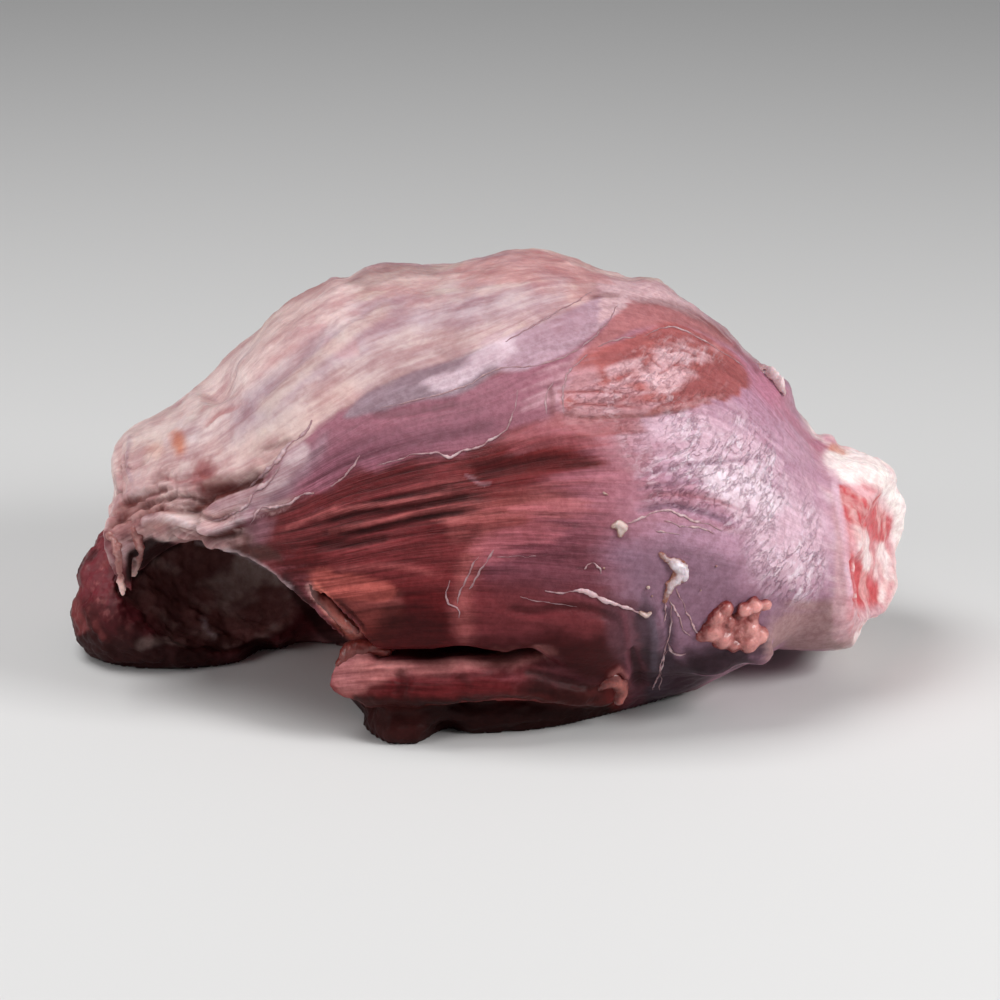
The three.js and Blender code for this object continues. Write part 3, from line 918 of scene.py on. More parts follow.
# Strokes along the front: paint, half width, depth of relief in mm, strength, and the line in the frame
frontStrokes = {
    # painted shade in the flank's grooves, which the relief also sinks
    "grooveUpper": ("flankShade", 3.2, -0.9, 0.8, [
        (315, 524), (360, 514), (403, 509), (445, 501), (480, 494)]),
    "grooveMiddle": ("flankShade", 3.0, -0.8, 0.7, [(324, 536), (377, 529), (417, 519), (473, 510)]),
    "grooveInner": ("flankShade", 2.6, -0.7, 0.7, [(338, 511), (377, 502), (417, 494), (453, 488)]),
    "grooveLower": ("flankShade", 3.5, -0.8, 0.7, [(310, 546), (350, 544), (392, 538)]),
    # painted highlights along the flank's ridges
    "ridgeUpper": ("flankStreakAndHighlight", 2.6, 0.5, 0.85, [(320, 517), (362, 507), (405, 501), (450, 492)]),
    "ridgeMiddle": ("flankStreakAndHighlight", 2.6, 0.5, 0.85, [(330, 531), (380, 522), (430, 511), (478, 503)]),
    "ridgeLeft": ("flankStreakAndHighlight", 3.0, 0.4, 0.5, [(284, 532), (310, 518), (340, 506)]),
    # pale rim of the lip, partly painted highlight
    "lipRim": ("lipPaleHighlight", 2.8, 0.3, 0.75, [
        (308, 586), (315, 597), (324, 607), (335, 618), (348, 628), (358, 634)]),
    # painted shade in the lip's crease
    "lipCrease": ("flankShade", 2.6, -0.9, 0.7, [(337, 603), (347, 611), (355, 620), (364, 631)]),
    # painted shade: dark red in the chump's creases, which the relief also sinks
    "chumpCreaseLeft": ("creaseRedShade", 2.4, -0.7, 0.5, [
        (116, 522), (123, 511), (134, 504), (148, 500), (162, 497)]),
    "chumpCreaseRight": ("creaseRedShade", 2.4, -0.6, 0.4, [
        (166, 500), (182, 503), (198, 499), (212, 490), (226, 484)]),
    "chumpCreaseHigh": ("chumpRed", 2.6, -0.5, 0.5, [(196, 470), (206, 478), (218, 482), (236, 478)]),
    # pale marks on the pocket's lumps, partly painted highlights
    "pocketLumpHighlightOne": ("pocketGrey", 5.0, 0.0, 0.3, [(150, 560), (166, 566), (180, 576)]),
    "pocketLumpHighlightTwo": ("rimPaleHighlight", 2.6, 0.0, 0.3, [(203, 618), (206, 630), (214, 638)]),
    "pocketLumpHighlightThree": ("pocketGrey", 5.0, 0.0, 0.25, [(134, 648), (150, 642), (170, 640), (190, 646)]),
    "lobeEdge": ("lobeWarm", 7.0, 0.0, 0.7, [(73, 598), (77, 616), (86, 634)]),
    # pale strand along the pocket's rim, partly painted highlight
    "rimStrand": ("rimPaleHighlight", 2.2, 0.5, 0.5, [(196, 541), (220, 546), (244, 556), (268, 569), (292, 586)]),
    "lobeGlints": ("lobeWarm", 3.0, 0.5, 0.4, [(96, 618), (100, 630), (108, 640)]),
    "streakOne": ("flankStreakAndHighlight", 3.0, 0.3, 0.4, [(330, 570), (370, 566), (410, 568), (440, 576)]),
    # painted shade along the hollow's fold
    "hollowFold": ("flankShade", 6.0, -1.2, 0.3, [
        (462, 476), (500, 470), (540, 464), (580, 462), (604, 458)]),
    "hollowBrow": ("flankMid", 3.5, 0.4, 0.6, [(486, 450), (520, 442), (560, 438), (604, 440)]),
    "hollowLight": ("flankStreakAndHighlight", 3.0, 0.4, 0.3, [(482, 490), (520, 490), (560, 484), (600, 480)]),
    "hollowBits": ("silverPale", 1.6, 0.3, 0.3, [(466, 476), (474, 480), (482, 484), (490, 483)]),
    # painted shade under the fat cover's edge, deepened by a groove
    "coverUnder": ("creaseRedShade", 3.8, -2.4, 0.9, [
        (180, 511), (193, 507), (210, 497), (233, 487), (252, 480), (264, 473)]),
    # painted shadow under the silver film's edge
    "coverUnderRight": ("seamPlum", 4.0, -0.6, 0.5, [(366, 416), (396, 413), (430, 407), (462, 400)]),
    "coverBrow": ("coverCream", 4.5, 1.2, 0.5, [(200, 488), (225, 478), (250, 472), (266, 462)]),
    # painted shade: dark red in the chump's folds and creases
    "blotCrease": ("creaseRedShade", 4.0, -0.8, 0.7, [(194, 492), (206, 488), (222, 486), (236, 484)]),
    "foldOne": ("creaseRedShade", 2.6, -1.6, 0.85, [(120, 508), (128, 500), (147, 493), (170, 488)]),
    "foldTwo": ("creaseRedShade", 2.4, -1.5, 0.75, [(150, 503), (173, 496), (193, 498), (204, 502)]),
    "foldThree": ("creaseRedShade", 2.2, -1.3, 0.7, [(116, 516), (130, 512), (142, 505), (150, 503)]),
    "foldFour": ("creaseRedShade", 2.4, -1.5, 0.7, [(108, 528), (118, 520), (132, 520)]),
    "coverBlotch": ("coverRed", 7.0, -0.3, 0.4, [(322, 342), (340, 350), (360, 346)]),
    "foldSmall": ("coverRed", 2.0, -0.9, 0.8, [(160, 478), (180, 480), (196, 476)]),
    "marginOne": ("coverPink", 2.0, -0.6, 0.7, [(122, 440), (118, 465), (122, 490)]),
    "marginTwo": ("coverGrey", 2.0, 0.5, 0.6, [(131, 440), (128, 462), (132, 482)]),
    # pale fat of the rim's roll, partly painted highlight
    "rimRoll": ("rimPaleHighlight", 3.2, 1.7, 0.45, [
        (136, 530), (150, 518), (172, 518), (193, 525), (217, 531), (240, 522), (262, 511)]),
    "rimRollShade": ("creaseRedShade", 2.4, -1.4, 0.6, [
        (146, 511), (170, 509), (196, 515), (218, 520), (236, 512)]),
    "rimLow": ("rimFat", 3.5, 0.9, 0.7, [(160, 532), (190, 538), (220, 544), (250, 540)]),
    "rimLowShade": ("creaseRedShade", 2.0, -1.2, 0.6, [(170, 527), (195, 533), (218, 538), (240, 531)]),
    "lipSheen": ("rimFat", 3.0, 0.4, 0.6, [(206, 550), (236, 562), (262, 572), (290, 586)]),
    "chumpNick": ("coverRed", 2.2, -0.7, 0.7, [(206, 424), (216, 414), (230, 408), (244, 402)]),
    # dark red line in a slight dip, partly painted shade
    "coverBrown": ("creaseRedShade", 2.4, -0.5, 0.4, [(262, 450), (276, 446), (290, 440)]),
    "coverPaleRidge": ("coverCream", 6.0, 0.8, 0.6, [
        (258, 420), (290, 385), (330, 350), (365, 325), (400, 300)]),
    "coverGreyDip": ("coverGrey", 8.0, -0.7, 0.5, [(225, 425), (260, 390), (300, 355), (345, 320)]),
    # dark red lines, and painted shade along the top of the patch and the shoulder
    "ovalLines": ("creaseRedShade", 2.0, -0.4, 0.5, [(592, 298), (604, 295), (618, 296)]),
    "aboveShade": ("creaseRedShade", 4.0, -0.4, 0.4, [(630, 299), (670, 303), (705, 320), (735, 342)]),
    "shoulderDark": ("creaseRedShade", 3.4, -0.3, 0.45, [(734, 342), (750, 358), (762, 374)]),
    "patchStripeOne": ("patchDeep", 1.8, -0.4, 0.8, [(560, 392), (590, 390), (625, 392)]),
    "patchStripeTwo": ("patchDeep", 1.8, -0.4, 0.8, [(562, 403), (590, 403), (640, 407)]),
    # dark red stripe in a slight dip, partly painted shade
    "patchStripeThree": ("creaseRedShade", 2.0, -0.3, 0.5, [(566, 414), (600, 417), (650, 415), (690, 408)]),
    "patchWrinkleOne": ("patchRed", 1.4, -0.5, 0.6, [(648, 346), (652, 358), (662, 366)]),
    "patchWrinkleTwo": ("patchRed", 1.4, -0.5, 0.6, [(660, 372), (680, 362), (700, 352)]),
    "patchWrinkleThree": ("patchRed", 1.4, -0.5, 0.6, [(618, 376), (634, 368), (646, 356)]),
    "patchWrinkleFour": ("patchRed", 1.2, -0.4, 0.6, [(668, 352), (684, 350), (700, 356)]),
    # painted highlight on the open patch
    "patchWing": ("patchHighlight", 5.0, 0.3, 0.7, [(604, 374), (622, 367), (644, 361)]),
    "patchBlood": ("patchDeep", 4.0, -0.2, 0.7, [(612, 398), (634, 398), (652, 400)]),
    "patchShine": ("patchHighlight", 2.2, 0.3, 0.2, [(656, 408), (690, 404), (722, 396)]),
    "roundFold": ("roundShade", 2.4, -0.7, 0.8, [(640, 512), (668, 506), (700, 512), (730, 524)]),
    "roundFoldUp": ("roundRed", 2.0, -0.5, 0.7, [(636, 500), (670, 494), (706, 498), (742, 510)]),
    "roundCrease": ("roundShade", 1.8, -0.4, 0.5, [(640, 478), (680, 466), (720, 462), (760, 458)]),
    "roundCreaseLow": ("roundShade", 1.8, -0.4, 0.5, [(640, 490), (670, 484), (710, 482)]),
    "roundLine": ("roundEdge", 3.2, 0.6, 0.9, [(832, 472), (839, 510), (845, 545), (847, 580), (849, 606)]),
    # painted shade along the belly's fold
    "bellyFold": ("flankShade", 3.5, -0.9, 0.5, [
        (500, 606), (530, 612), (560, 608), (590, 610), (620, 622)]),
    "seamCut": ("shadow", 4.0, -1.2, 0.7, [(628, 646), (636, 664), (641, 694)]),
    "seamLight": ("wetGrey", 3.6, 0.6, 0.3, [(650, 614), (655, 640), (653, 676)]),
    "seamFoldOne": ("flankPurple", 3.0, 0.6, 0.6, [(618, 606), (626, 626), (628, 660), (624, 690)]),
    # painted shade in the seam's fold
    "seamFoldTwo": ("seamBlueShade", 3.4, -0.9, 0.6, [(664, 606), (670, 630), (668, 664)]),
    # painted highlight on the nub's rim
    "nubRim": ("skirtHighlightPink", 2.2, 0.7, 0.35, [(609, 675), (618, 669), (627, 677)]),
    # painted shade in the skirt's cleft and soft dip
    "skirtCleft": ("flankShade", 5.0, -1.3, 0.6, [(398, 668), (404, 682), (398, 698)]),
    "skirtSoftDip": ("flankRed", 6.0, -1.0, 0.4, [(452, 676), (462, 688), (456, 702)]),
    "skirtHighlight": ("skirtHighlightPink", 3.4, 0.6, 0.75, [
        (345, 668), (380, 666), (430, 664), (480, 660), (520, 660)]),
    # painted shade along the skirt's dip
    "skirtDip": ("flankRed", 3.0, -0.7, 0.4, [(386, 676), (430, 678), (480, 676), (520, 672)]),
    # painted shade in the skirt's crease
    "skirtCrease": ("skirtShadow", 3.0, -0.5, 0.7, [(520, 668), (560, 680), (600, 690)]),
    "skirtRoll": ("skirtRed", 3.0, 0.7, 0.15, [(500, 690), (540, 698), (580, 704), (612, 700)]),
    "knuckleStreak": ("knuckleRose", 2.0, -0.5, 0.8, [(866, 520), (874, 552), (872, 584)]),
    "knuckleDent": ("knuckleRed", 4.0, -1.4, 0.7, [(852, 556), (860, 580), (856, 604)]),
    "knuckleRidge": ("knuckleFat", 3.0, 0.9, 0.3, [(848, 508), (858, 530), (862, 556)]),
    "knuckleSpot": ("orangeSpot", 3.0, 0.0, 0.7, [(828, 446), (846, 451)]),
    # dark red line in a slight dip, partly painted shade
    "uprightPair": ("creaseRedShade", 3.0, -0.2, 0.5, [(550, 384), (553, 400), (550, 418)]),
}

# The washes and strokes that also cover the pocket
overPocket = {
    "lipFill", "lipUnder", "lipEdge", "lipOut", "rimShade", "nubGrey", "strandLeft", "lobeShadow",
    "strandGap", "lipRim", "pocketLumpHighlightOne", "pocketLumpHighlightTwo", "pocketLumpHighlightThree", "rimStrand",
}

# The part of the knuckle's cut that fat and meat marble, in the camera's frame
knuckleCut = [(842, 492), (866, 484), (886, 500), (894, 540), (892, 590), (872, 622), (850, 632), (845, 560)]

# How the front's paint is laid
brush = {
    "jitter": 9,  # size of the noise that makes edges ragged
    "strokeJitter": 2.5,
    "fibre": (30, 2.2, 12),
    "paintSpread": 1.6,  # times a stroke's half width
    "reliefSpread": 2.2,
    "hollowShade": 0.45,
}


def strokeMask(line, wide, places, spread):  # full along the middle of a stroke, thinning out at its ends
    reach = wide * spread
    near, gap, share = nearLine(places, curved(line), reach)
    ends = smooth(0.0, 0.12, share) * smooth(1.0, 0.88, share)
    return near, smooth(reach, reach * 0.25, gap) * np.maximum(ends, smooth(0.25, 0.0, wide / 20))


def marbledCut(tint):  # fat and meat through the knuckle's cut
    near, depth = insideOutline(seen, knuckleCut, 8)
    share = smooth(-6, 4, depth) * front[near]
    marbling = roughNoise(spots[near] * (1, 1, 0.4), 6, seed=151)
    tint[near] = blend(tint[near], paint["knuckleFat"], share * smooth(0.12, 0.3, marbling) * 0.3)
    tint[near] = blend(tint[near], paint["knuckleRed"], share * smooth(-0.02, -0.22, marbling) * 0.35)


def paintFront(tint):
    jitter = np.stack([roughNoise(spots, brush["jitter"], seed) for seed in (61, 65)], axis=1)
    carried = fibres(brush["fibre"], seed=141)
    showing = front * (1 - pocket)
    for name, (colour, soft, ragged, streaks, strength, outline) in frontWashes.items():
        held = front if name in overPocket else showing
        near, depth = insideOutline(seen + jitter * ragged * 2, outline, soft + 2 + streaks * 0.6)
        share = smooth(-soft, soft, depth + carried[near] * streaks) * held[near] * strength
        tint[near] = blend(tint[near], paint[colour], share)
    for name, (colour, wide, _, strength, line) in frontStrokes.items():
        held = front if name in overPocket else showing
        near, mask = strokeMask(line, wide, seen + jitter * brush["strokeJitter"], brush["paintSpread"])
        tint[near] = blend(tint[near], paint[colour], mask * held[near] * strength)
    marbledCut(tint)
    shade = 1 - brush["hollowShade"] * depthShade * (1 - pocket)
    return tint * shade[:, None]


tint = paintFront(groundColours())
print("meat painted")

relief = {
    "coverBillow": 0.9,  # height of the fat's soft lumps
    "coverGrain": 0.35,
    "nick": 0.8,  # small bumps that roughen the outline
    "chumpFold": 1.1,
    "chumpGrain": 0.7,
    "fibreRidge": 0.34,
    "lobeLump": 2.4,
    "lobeGrain": 1.1,
    "pocketLump": 3.4,
    "knuckleLump": 1.8,
    "skirtLump": 2.2,
    "crinkle": 0.22,
    "boardFade": (0.2, 2.5),  # heights over which the relief sets in, so that the underside stays flat
}
# Where the film over the round is wrinkled and wet, and where the grooves' stripes stand out, in the frame
wrinkledParts = [
    [(622, 426), (644, 414), (684, 406), (745, 416), (785, 462), (764, 504), (735, 530), (700, 512),
     (654, 506), (646, 484), (634, 464)],
    [(748, 500), (790, 480), (826, 520), (832, 562), (806, 600), (770, 596), (748, 560)],
    [(566, 388), (600, 376), (622, 362), (640, 348), (666, 338), (704, 346), (722, 362), (690, 388),
     (730, 388), (700, 408), (650, 412), (600, 416), (566, 412)],
]
stripedPart = [(292, 530), (330, 494), (400, 470), (462, 466), (496, 486), (470, 524), (400, 540), (330, 552)]


def sheenOnRound():
    sheen = np.zeros(len(spots))
    for part in wrinkledParts:
        near, depth = insideOutline(seen, part, 16)
        sheen[near] = np.maximum(sheen[near], smooth(-14, 18, depth))
    sheen *= 1 - 0.45 * smooth(424, 408, seen[:, 1])
    return sheen * (front * (1 - knuckle) * smooth(-0.45, 0.1, roughNoise(spots, 14, seed=91) + 0.1))


roundSheen = sheenOnRound()
muscleBare = (1 - coverFat) * (1 - pocket) * (1 - lobe) * (1 - knuckle)
flankShare = smooth(230, 300, seen[:, 0]) * smooth(640, 560, seen[:, 0]) * smooth(430, 470, seen[:, 1])


def fibresShown():  # how far the fibres stand out
    smoothPart = smooth(470, 500, seen[:, 0]) * smooth(560, 590, seen[:, 1]) * front
    shown = muscleBare * (0.24 + 0.5 * flankShare * front) * (1 - 0.6 * roundSheen) * (1 - 0.6 * smoothPart)
    shown *= 1 - 0.7 * skirt
    near, depth = insideOutline(seen, stripedPart, 20)
    shown[near] += 0.35 * smooth(-18, 14, depth) * front[near] * muscleBare[near]
    return shown


def wetness():  # wettest on the round's film, dry low down and in the hollows
    wet = (0.32 + 0.3 * roundSheen + 0.12 * muscleBare) * (1 - 0.7 * np.maximum(pocket, skirt))
    wet *= 1 - 0.5 * depthShade
    wet *= 0.12 + 0.88 * smooth(30, 72, z + 0.25 * np.maximum(x, 0))
    wet *= 1 - 0.45 * flankShare * front
    return np.clip(np.maximum(wet, lobe * 0.45 * smooth(14, 30, z)), 0, 1)


fibreShare = fibresShown()
wet = wetness()

# The film's wrinkles turn from level on the left to steep on the right: where and by how much, in degrees
filmTurn = {"middle": (705, 490), "from": (600, 18), "to": (810, 68), "scale": 0.288}


def filmGrain():  # across and along the wrinkles
    lean = np.radians(np.interp(seen[:, 0], *zip(filmTurn["from"], filmTurn["to"])))
    fromMiddle = (seen - np.array(filmTurn["middle"])) * filmTurn["scale"]
    along = fromMiddle[:, 0] * np.cos(lean) - fromMiddle[:, 1] * np.sin(lean)
    across = fromMiddle[:, 0] * np.sin(lean) + fromMiddle[:, 1] * np.cos(lean)
    return np.stack((across, along, spots[:, 1] * 0.2), axis=1)


def creases(width):  # thin branching lines
    return smooth(width, 0.0, np.abs(roughNoise(spots * (0.35, 0.8, 1.2), 9, seed=101)))


def broadRelief():
    rise = coverFat * relief["coverBillow"] * roughNoise(spots, 15, seed=71, octaves=3)
    rise += coverFat * relief["coverGrain"] * roughNoise(spots, 4.5, seed=75, octaves=3)
    rise += relief["nick"] * roughNoise(spots, 6.5, seed=78, octaves=3) * smooth(0.3, 0.0, np.abs(facing))
    rise += folded * relief["chumpFold"] * (0.35 - creases(0.16))
    rise += folded * relief["chumpGrain"] * roughNoise(spots, 2.6, seed=103, octaves=3)
    rise += fibreShare * relief["fibreRidge"] * fibres((34, 3.2, 12), seed=81)
    rise += lobe * relief["lobeLump"] * roughNoise(spots, 13, seed=85, octaves=5, fade=0.7)
    rise += lobe * relief["lobeGrain"] * roughNoise(spots, 3.6, seed=86, octaves=3)
    rise += pocket * relief["pocketLump"] * roughNoise(spots, 16, seed=87)
    rise += knuckle * relief["knuckleLump"] * roughNoise(spots, 10, seed=89)
    rise += skirt * relief["skirtLump"] * roughNoise(spots * (0.6, 1, 1), 8, seed=93)
    crinkles = 1 - 3 * np.abs(roughNoise(spots * (1, 1, 0.7), 7, seed=95, octaves=3))
    rise += roundSheen * relief["crinkle"] * crinkles
    return rise


def strokeRelief():
    rise = np.zeros(len(spots))
    for _, wide, deep, _, line in frontStrokes.values():
        near, mask = strokeMask(line, wide, seen, brush["reliefSpread"])
        rise[near] += mask * front[near] * (1 - pocket[near]) * deep
    return rise


# painted shade: dark red in the chump's creases, with the meat's own red there
tint = blend(tint, paint["creaseRedShade"], folded * creases(0.12) * 0.5)
rise = (broadRelief() + strokeRelief()) * smooth(*relief["boardFade"], z)
spots = spots + normals * rise[:, None]
spots[:, 2] = np.maximum(spots[:, 2], 0.0)
setPlaces(meatMesh, spots)
meatMesh.shade_smooth()
print("relief done")

fat = np.clip(coverFat * (1 - knuckle) + 0.5 * knuckle * (1 - cutMeat), 0, 1)
full = np.ones(len(spots))
addLayer(meatMesh, "FLOAT_COLOR", "tint", np.column_stack((tint, full)))
addLayer(meatMesh, "FLOAT_COLOR", "finish", np.column_stack((fat, roundSheen, fibreShare, full)))
addLayer(meatMesh, "FLOAT_VECTOR", "grainFront", grainFront)
addLayer(meatMesh, "FLOAT_VECTOR", "grainRound", grainRound)
addLayer(meatMesh, "FLOAT", "toFront", front)
addLayer(meatMesh, "FLOAT", "wet", wet)
addLayer(meatMesh, "FLOAT_VECTOR", "filmGrain", filmGrain())


def addNode(tree, kind, inputs=None, **settings):  # inputs are values, or other nodes' outputs
    node = tree.nodes.new(kind)
    for name, value in settings.items():
        setattr(node, name, value)
    for name, value in (inputs or {}).items():
        socket = node.inputs[name]
        if isinstance(value, bpy.types.NodeSocket):
            tree.links.new(value, socket)
        else:
            socket.default_value = value
    return node


def mixColour(tree, kind, share, first, second):
    inputs = {0: share, 6: first, 7: second}
    return addNode(tree, "ShaderNodeMix", inputs, data_type="RGBA", blend_type=kind).outputs[2]


def mixValue(tree, share, first, second):
    return addNode(tree, "ShaderNodeMix", {0: share, 2: first, 3: second}, data_type="FLOAT").outputs[0]


def calculate(tree, kind, first, second=0.0, clamp=False):
    return addNode(tree, "ShaderNodeMath", {0: first, 1: second}, operation=kind, use_clamp=clamp).outputs[0]


def times(tree, first, second):
    return calculate(tree, "MULTIPLY", first, second)


def plus(tree, first, second):
    return calculate(tree, "ADD", first, second)


def noiseAt(tree, place, stretch, detail=3.0, roughness=0.55, distortion=0.0):
    moved = addNode(tree, "ShaderNodeVectorMath", {0: place, 1: stretch}, operation="MULTIPLY").outputs[0]
    return addNode(tree, "ShaderNodeTexNoise", {
        "Vector": moved, "Scale": 1.0, "Detail": detail, "Roughness": roughness, "Distortion": distortion,
    }).outputs[0]


def ramp(tree, value, low, high):
    inputs = {0: value, 1: low, 2: high}
    return addNode(tree, "ShaderNodeMapRange", inputs, interpolation_type="SMOOTHSTEP").outputs[0]


def ridged(tree, value, width):  # bright along the thin lines where noise crosses its middle
    gap = calculate(tree, "ABSOLUTE", calculate(tree, "SUBTRACT", value, 0.5))
    return ramp(tree, gap, width, 0.0)


def layer(tree, name, output):
    return addNode(tree, "ShaderNodeAttribute", attribute_name=name).outputs[output]


def placeInMm(tree):
    place = addNode(tree, "ShaderNodeTexCoord").outputs["Object"]
    return addNode(tree, "ShaderNodeVectorMath", {0: place, 3: 1 / mm}, operation="SCALE").outputs[0]


def newMaterial(name):
    material = bpy.data.materials.new(name)
    material.use_nodes = True
    return material, material.node_tree, material.node_tree.nodes["Principled BSDF"]


def setFinish(shader, finish):  # the finish's even values, each on the shader's socket of that name
    for name, value in finish.items():
        shader.inputs[name].default_value = value


# Even values of the raw meat's finish, and the height of its bump
meatFinish = {
    "Coat Roughness": 0.15,
    "Specular IOR Level": 0.07,
    "Subsurface Weight": 0.1,
    "Subsurface Scale": 0.003,
    "Subsurface Radius": (1.0, 0.35, 0.2),
}
meatBump = {"strength": 0.8, "height": 0.001, "coat": 1.0}
meatRoughness = (0.34, 0.54)
# Dark and light ends that each mottle multiplies the paint by, and the film's own colours: its pale crests,
# partly painted highlight, and its cracks
meatShades = {
    "fibre": [(0.5, 0.38, 0.4, 1), (1.5, 1.46, 1.5, 1)],
    "fat": [(0.74, 0.56, 0.59, 1), (1.15, 1.18, 1.17, 1)],
    "mottle": [(0.76, 0.66, 0.68, 1), (1.2, 1.24, 1.24, 1)],
    "film": (0.9, 0.78, 0.85, 1),
    "crack": (0.66, 0.46, 0.56, 1),
}


# The noises of its finish: stretch, in lumps to the mm along each axis, then detail, roughness and distortion
meatNoise = {
    "coarseFibre": ((0.035, 0.36, 0.1), 4.0),
    "fineFibre": ((0.07, 1.3, 0.2), 3.0),
    "clouds": ((0.07, 0.07, 0.07), 4.0, 0.55, 0.5),
    "broadThread": ((0.045, 0.15, 0.15), 5.0, 0.6, 0.5),
    "broadThreadFront": ((0.035, 0.22, 0.1), 5.0),
    "fineThread": ((0.16, 0.5, 0.5), 3.0, 0.6, 0.5),
    "fineThreadFront": ((0.09, 0.9, 0.2), 3.0),
    "filmPatch": ((0.08, 0.08, 0.08), 3.0),
    "wrinkle": ((0.55, 0.2, 0.2), 5.0, 0.62, 0.7),
    "crack": ((0.34, 0.13, 0.1), 6.0, 0.68, 0.35),
    "mottle": ((0.5, 0.5, 0.5), 5.0, 0.7),
    "bead": ((1.1, 1.1, 1.1), 3.0, 0.6),
}
# The heights of a noise between which it goes from dark to light
meatContrast = {"fibre": (0.36, 0.64), "fat": (0.4, 0.6), "filmPatch": (0.36, 0.62), "crest": (0.46, 0.6),
                "mottle": (0.34, 0.66)}
crackWidth = 0.028


def fibreHeight(tree, toFront, alongFront, alongRound):
    heights = []
    for noise in (meatNoise["coarseFibre"], meatNoise["fineFibre"]):
        turned = noiseAt(tree, alongRound, *noise)
        faced = noiseAt(tree, alongFront, *noise)
        heights.append(mixValue(tree, toFront, turned, faced))
    coarse, fine = heights
    return plus(tree, times(tree, coarse, 0.6), times(tree, fine, 0.4))


def fatHeight(tree, inMm, toFront, alongFront):  # clouds, with threads that follow the grain on the front
    clouds = noiseAt(tree, inMm, *meatNoise["clouds"])
    broad = mixValue(tree, toFront, noiseAt(tree, inMm, *meatNoise["broadThread"]),
                     noiseAt(tree, alongFront, *meatNoise["broadThreadFront"]))
    fine = mixValue(tree, toFront, noiseAt(tree, inMm, *meatNoise["fineThread"]),
                    noiseAt(tree, alongFront, *meatNoise["fineThreadFront"]))
    threads = plus(tree, times(tree, broad, 0.62), times(tree, fine, 0.38))
    return plus(tree, times(tree, clouds, 0.4), times(tree, threads, 0.6))


def filmed(tree, inMm, crinkleShare, colour):  # pale wrinkles, partly painted highlight on the wet film, and darker cracks of the film over the round
    filmPlace = layer(tree, "filmGrain", "Vector")
    patchy = ramp(tree, noiseAt(tree, inMm, *meatNoise["filmPatch"]), *meatContrast["filmPatch"])
    wrinkles = noiseAt(tree, filmPlace, *meatNoise["wrinkle"])
    crest = ramp(tree, wrinkles, *meatContrast["crest"])
    film = times(tree, crinkleShare, times(tree, crest, patchy))
    colour = mixColour(tree, "MIX", times(tree, film, 0.6), colour, meatShades["film"])
    cracks = ridged(tree, noiseAt(tree, filmPlace, *meatNoise["crack"]), crackWidth)
    crackShare = times(tree, times(tree, cracks, crinkleShare), 0.5)
    colour = mixColour(tree, "MULTIPLY", crackShare, colour, meatShades["crack"])
    folds = calculate(tree, "SUBTRACT", wrinkles, times(tree, cracks, 0.4))
    return colour, folds


def rawMeatMaterial():
    material, tree, shader = newMaterial("raw meat")
    tintNode = layer(tree, "tint", "Color")
    parts = addNode(tree, "ShaderNodeSeparateColor", {0: layer(tree, "finish", "Color")})
    fatShare, crinkleShare, stringy = parts.outputs[0], parts.outputs[1], parts.outputs[2]
    toFront = layer(tree, "toFront", "Fac")
    alongFront = layer(tree, "grainFront", "Vector")
    alongRound = layer(tree, "grainRound", "Vector")
    inMm = placeInMm(tree)

    fibre = fibreHeight(tree, toFront, alongFront, alongRound)
    fibreTint = mixColour(tree, "MIX", ramp(tree, fibre, *meatContrast["fibre"]), *meatShades["fibre"])
    colour = mixColour(tree, "MULTIPLY", stringy, tintNode, fibreTint)
    fatty = fatHeight(tree, inMm, toFront, alongFront)
    fatTint = mixColour(tree, "MIX", ramp(tree, fatty, *meatContrast["fat"]), *meatShades["fat"])
    colour = mixColour(tree, "MULTIPLY", times(tree, fatShare, 0.9), colour, fatTint)
    colour, folds = filmed(tree, inMm, crinkleShare, colour)
    mottle = noiseAt(tree, inMm, *meatNoise["mottle"])
    mottleTint = mixColour(tree, "MIX", ramp(tree, mottle, *meatContrast["mottle"]), *meatShades["mottle"])
    colour = mixColour(tree, "MULTIPLY", mixValue(tree, fatShare, 0.6, 0.26), colour, mottleTint)

    height = mixValue(tree, fatShare, times(tree, fibre, stringy), fatty)
    height = plus(tree, height, times(tree, crinkleShare, folds))
    height = plus(tree, height, times(tree, mottle, 0.22))
    bump = addNode(tree, "ShaderNodeBump", {
        "Strength": meatBump["strength"], "Distance": meatBump["height"], "Height": height})
    beads = noiseAt(tree, inMm, *meatNoise["bead"])
    wetBump = addNode(tree, "ShaderNodeBump", {
        "Strength": meatBump["coat"], "Distance": meatBump["height"],
        "Height": plus(tree, height, times(tree, beads, 0.6))})
    tree.links.new(colour, shader.inputs["Base Color"])
    tree.links.new(mixValue(tree, mottle, *meatRoughness), shader.inputs["Roughness"])
    tree.links.new(bump.outputs[0], shader.inputs["Normal"])
    tree.links.new(wetBump.outputs[0], shader.inputs["Coat Normal"])
    tree.links.new(layer(tree, "wet", "Fac"), shader.inputs["Coat Weight"])
    setFinish(shader, meatFinish)
    return material


def dress(piece, material):  # every piece of the leg rides on its one body and stands for the raw meat
    piece.data.materials.clear()
    piece.data.materials.append(material)
    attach(piece, "root")
    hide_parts("leg_of_lamb")


dress(newPiece("raw_meat", meatMesh), rawMeatMaterial())
print("meat dressed")

meatSurface = surfaceOf(meatMesh)


def landOn(spot):  # the place on the meat that the line of sight through a spot meets
    hit, normal, _, _ = meatSurface.ray_cast(Vector(eye) * mm, Vector(rayThrough(spot)))
    if hit is None:
        return None
    return np.array(hit) / mm, np.array(normal)


def addStanding(mesh):  # how far each corner stands out of the meat, in mm
    gaps = [meatSurface.find_nearest(Vector(place) * mm)[3] for place in placesOf(mesh)]
    addLayer(mesh, "FLOAT", "standing", np.array(gaps) / mm)


# Even values of the finish that fat, cords and film share
softFinish = {"Coat Weight": 0.3, "Coat Roughness": 0.16, "Subsurface Weight": 0.2, "Subsurface Scale": 0.002}


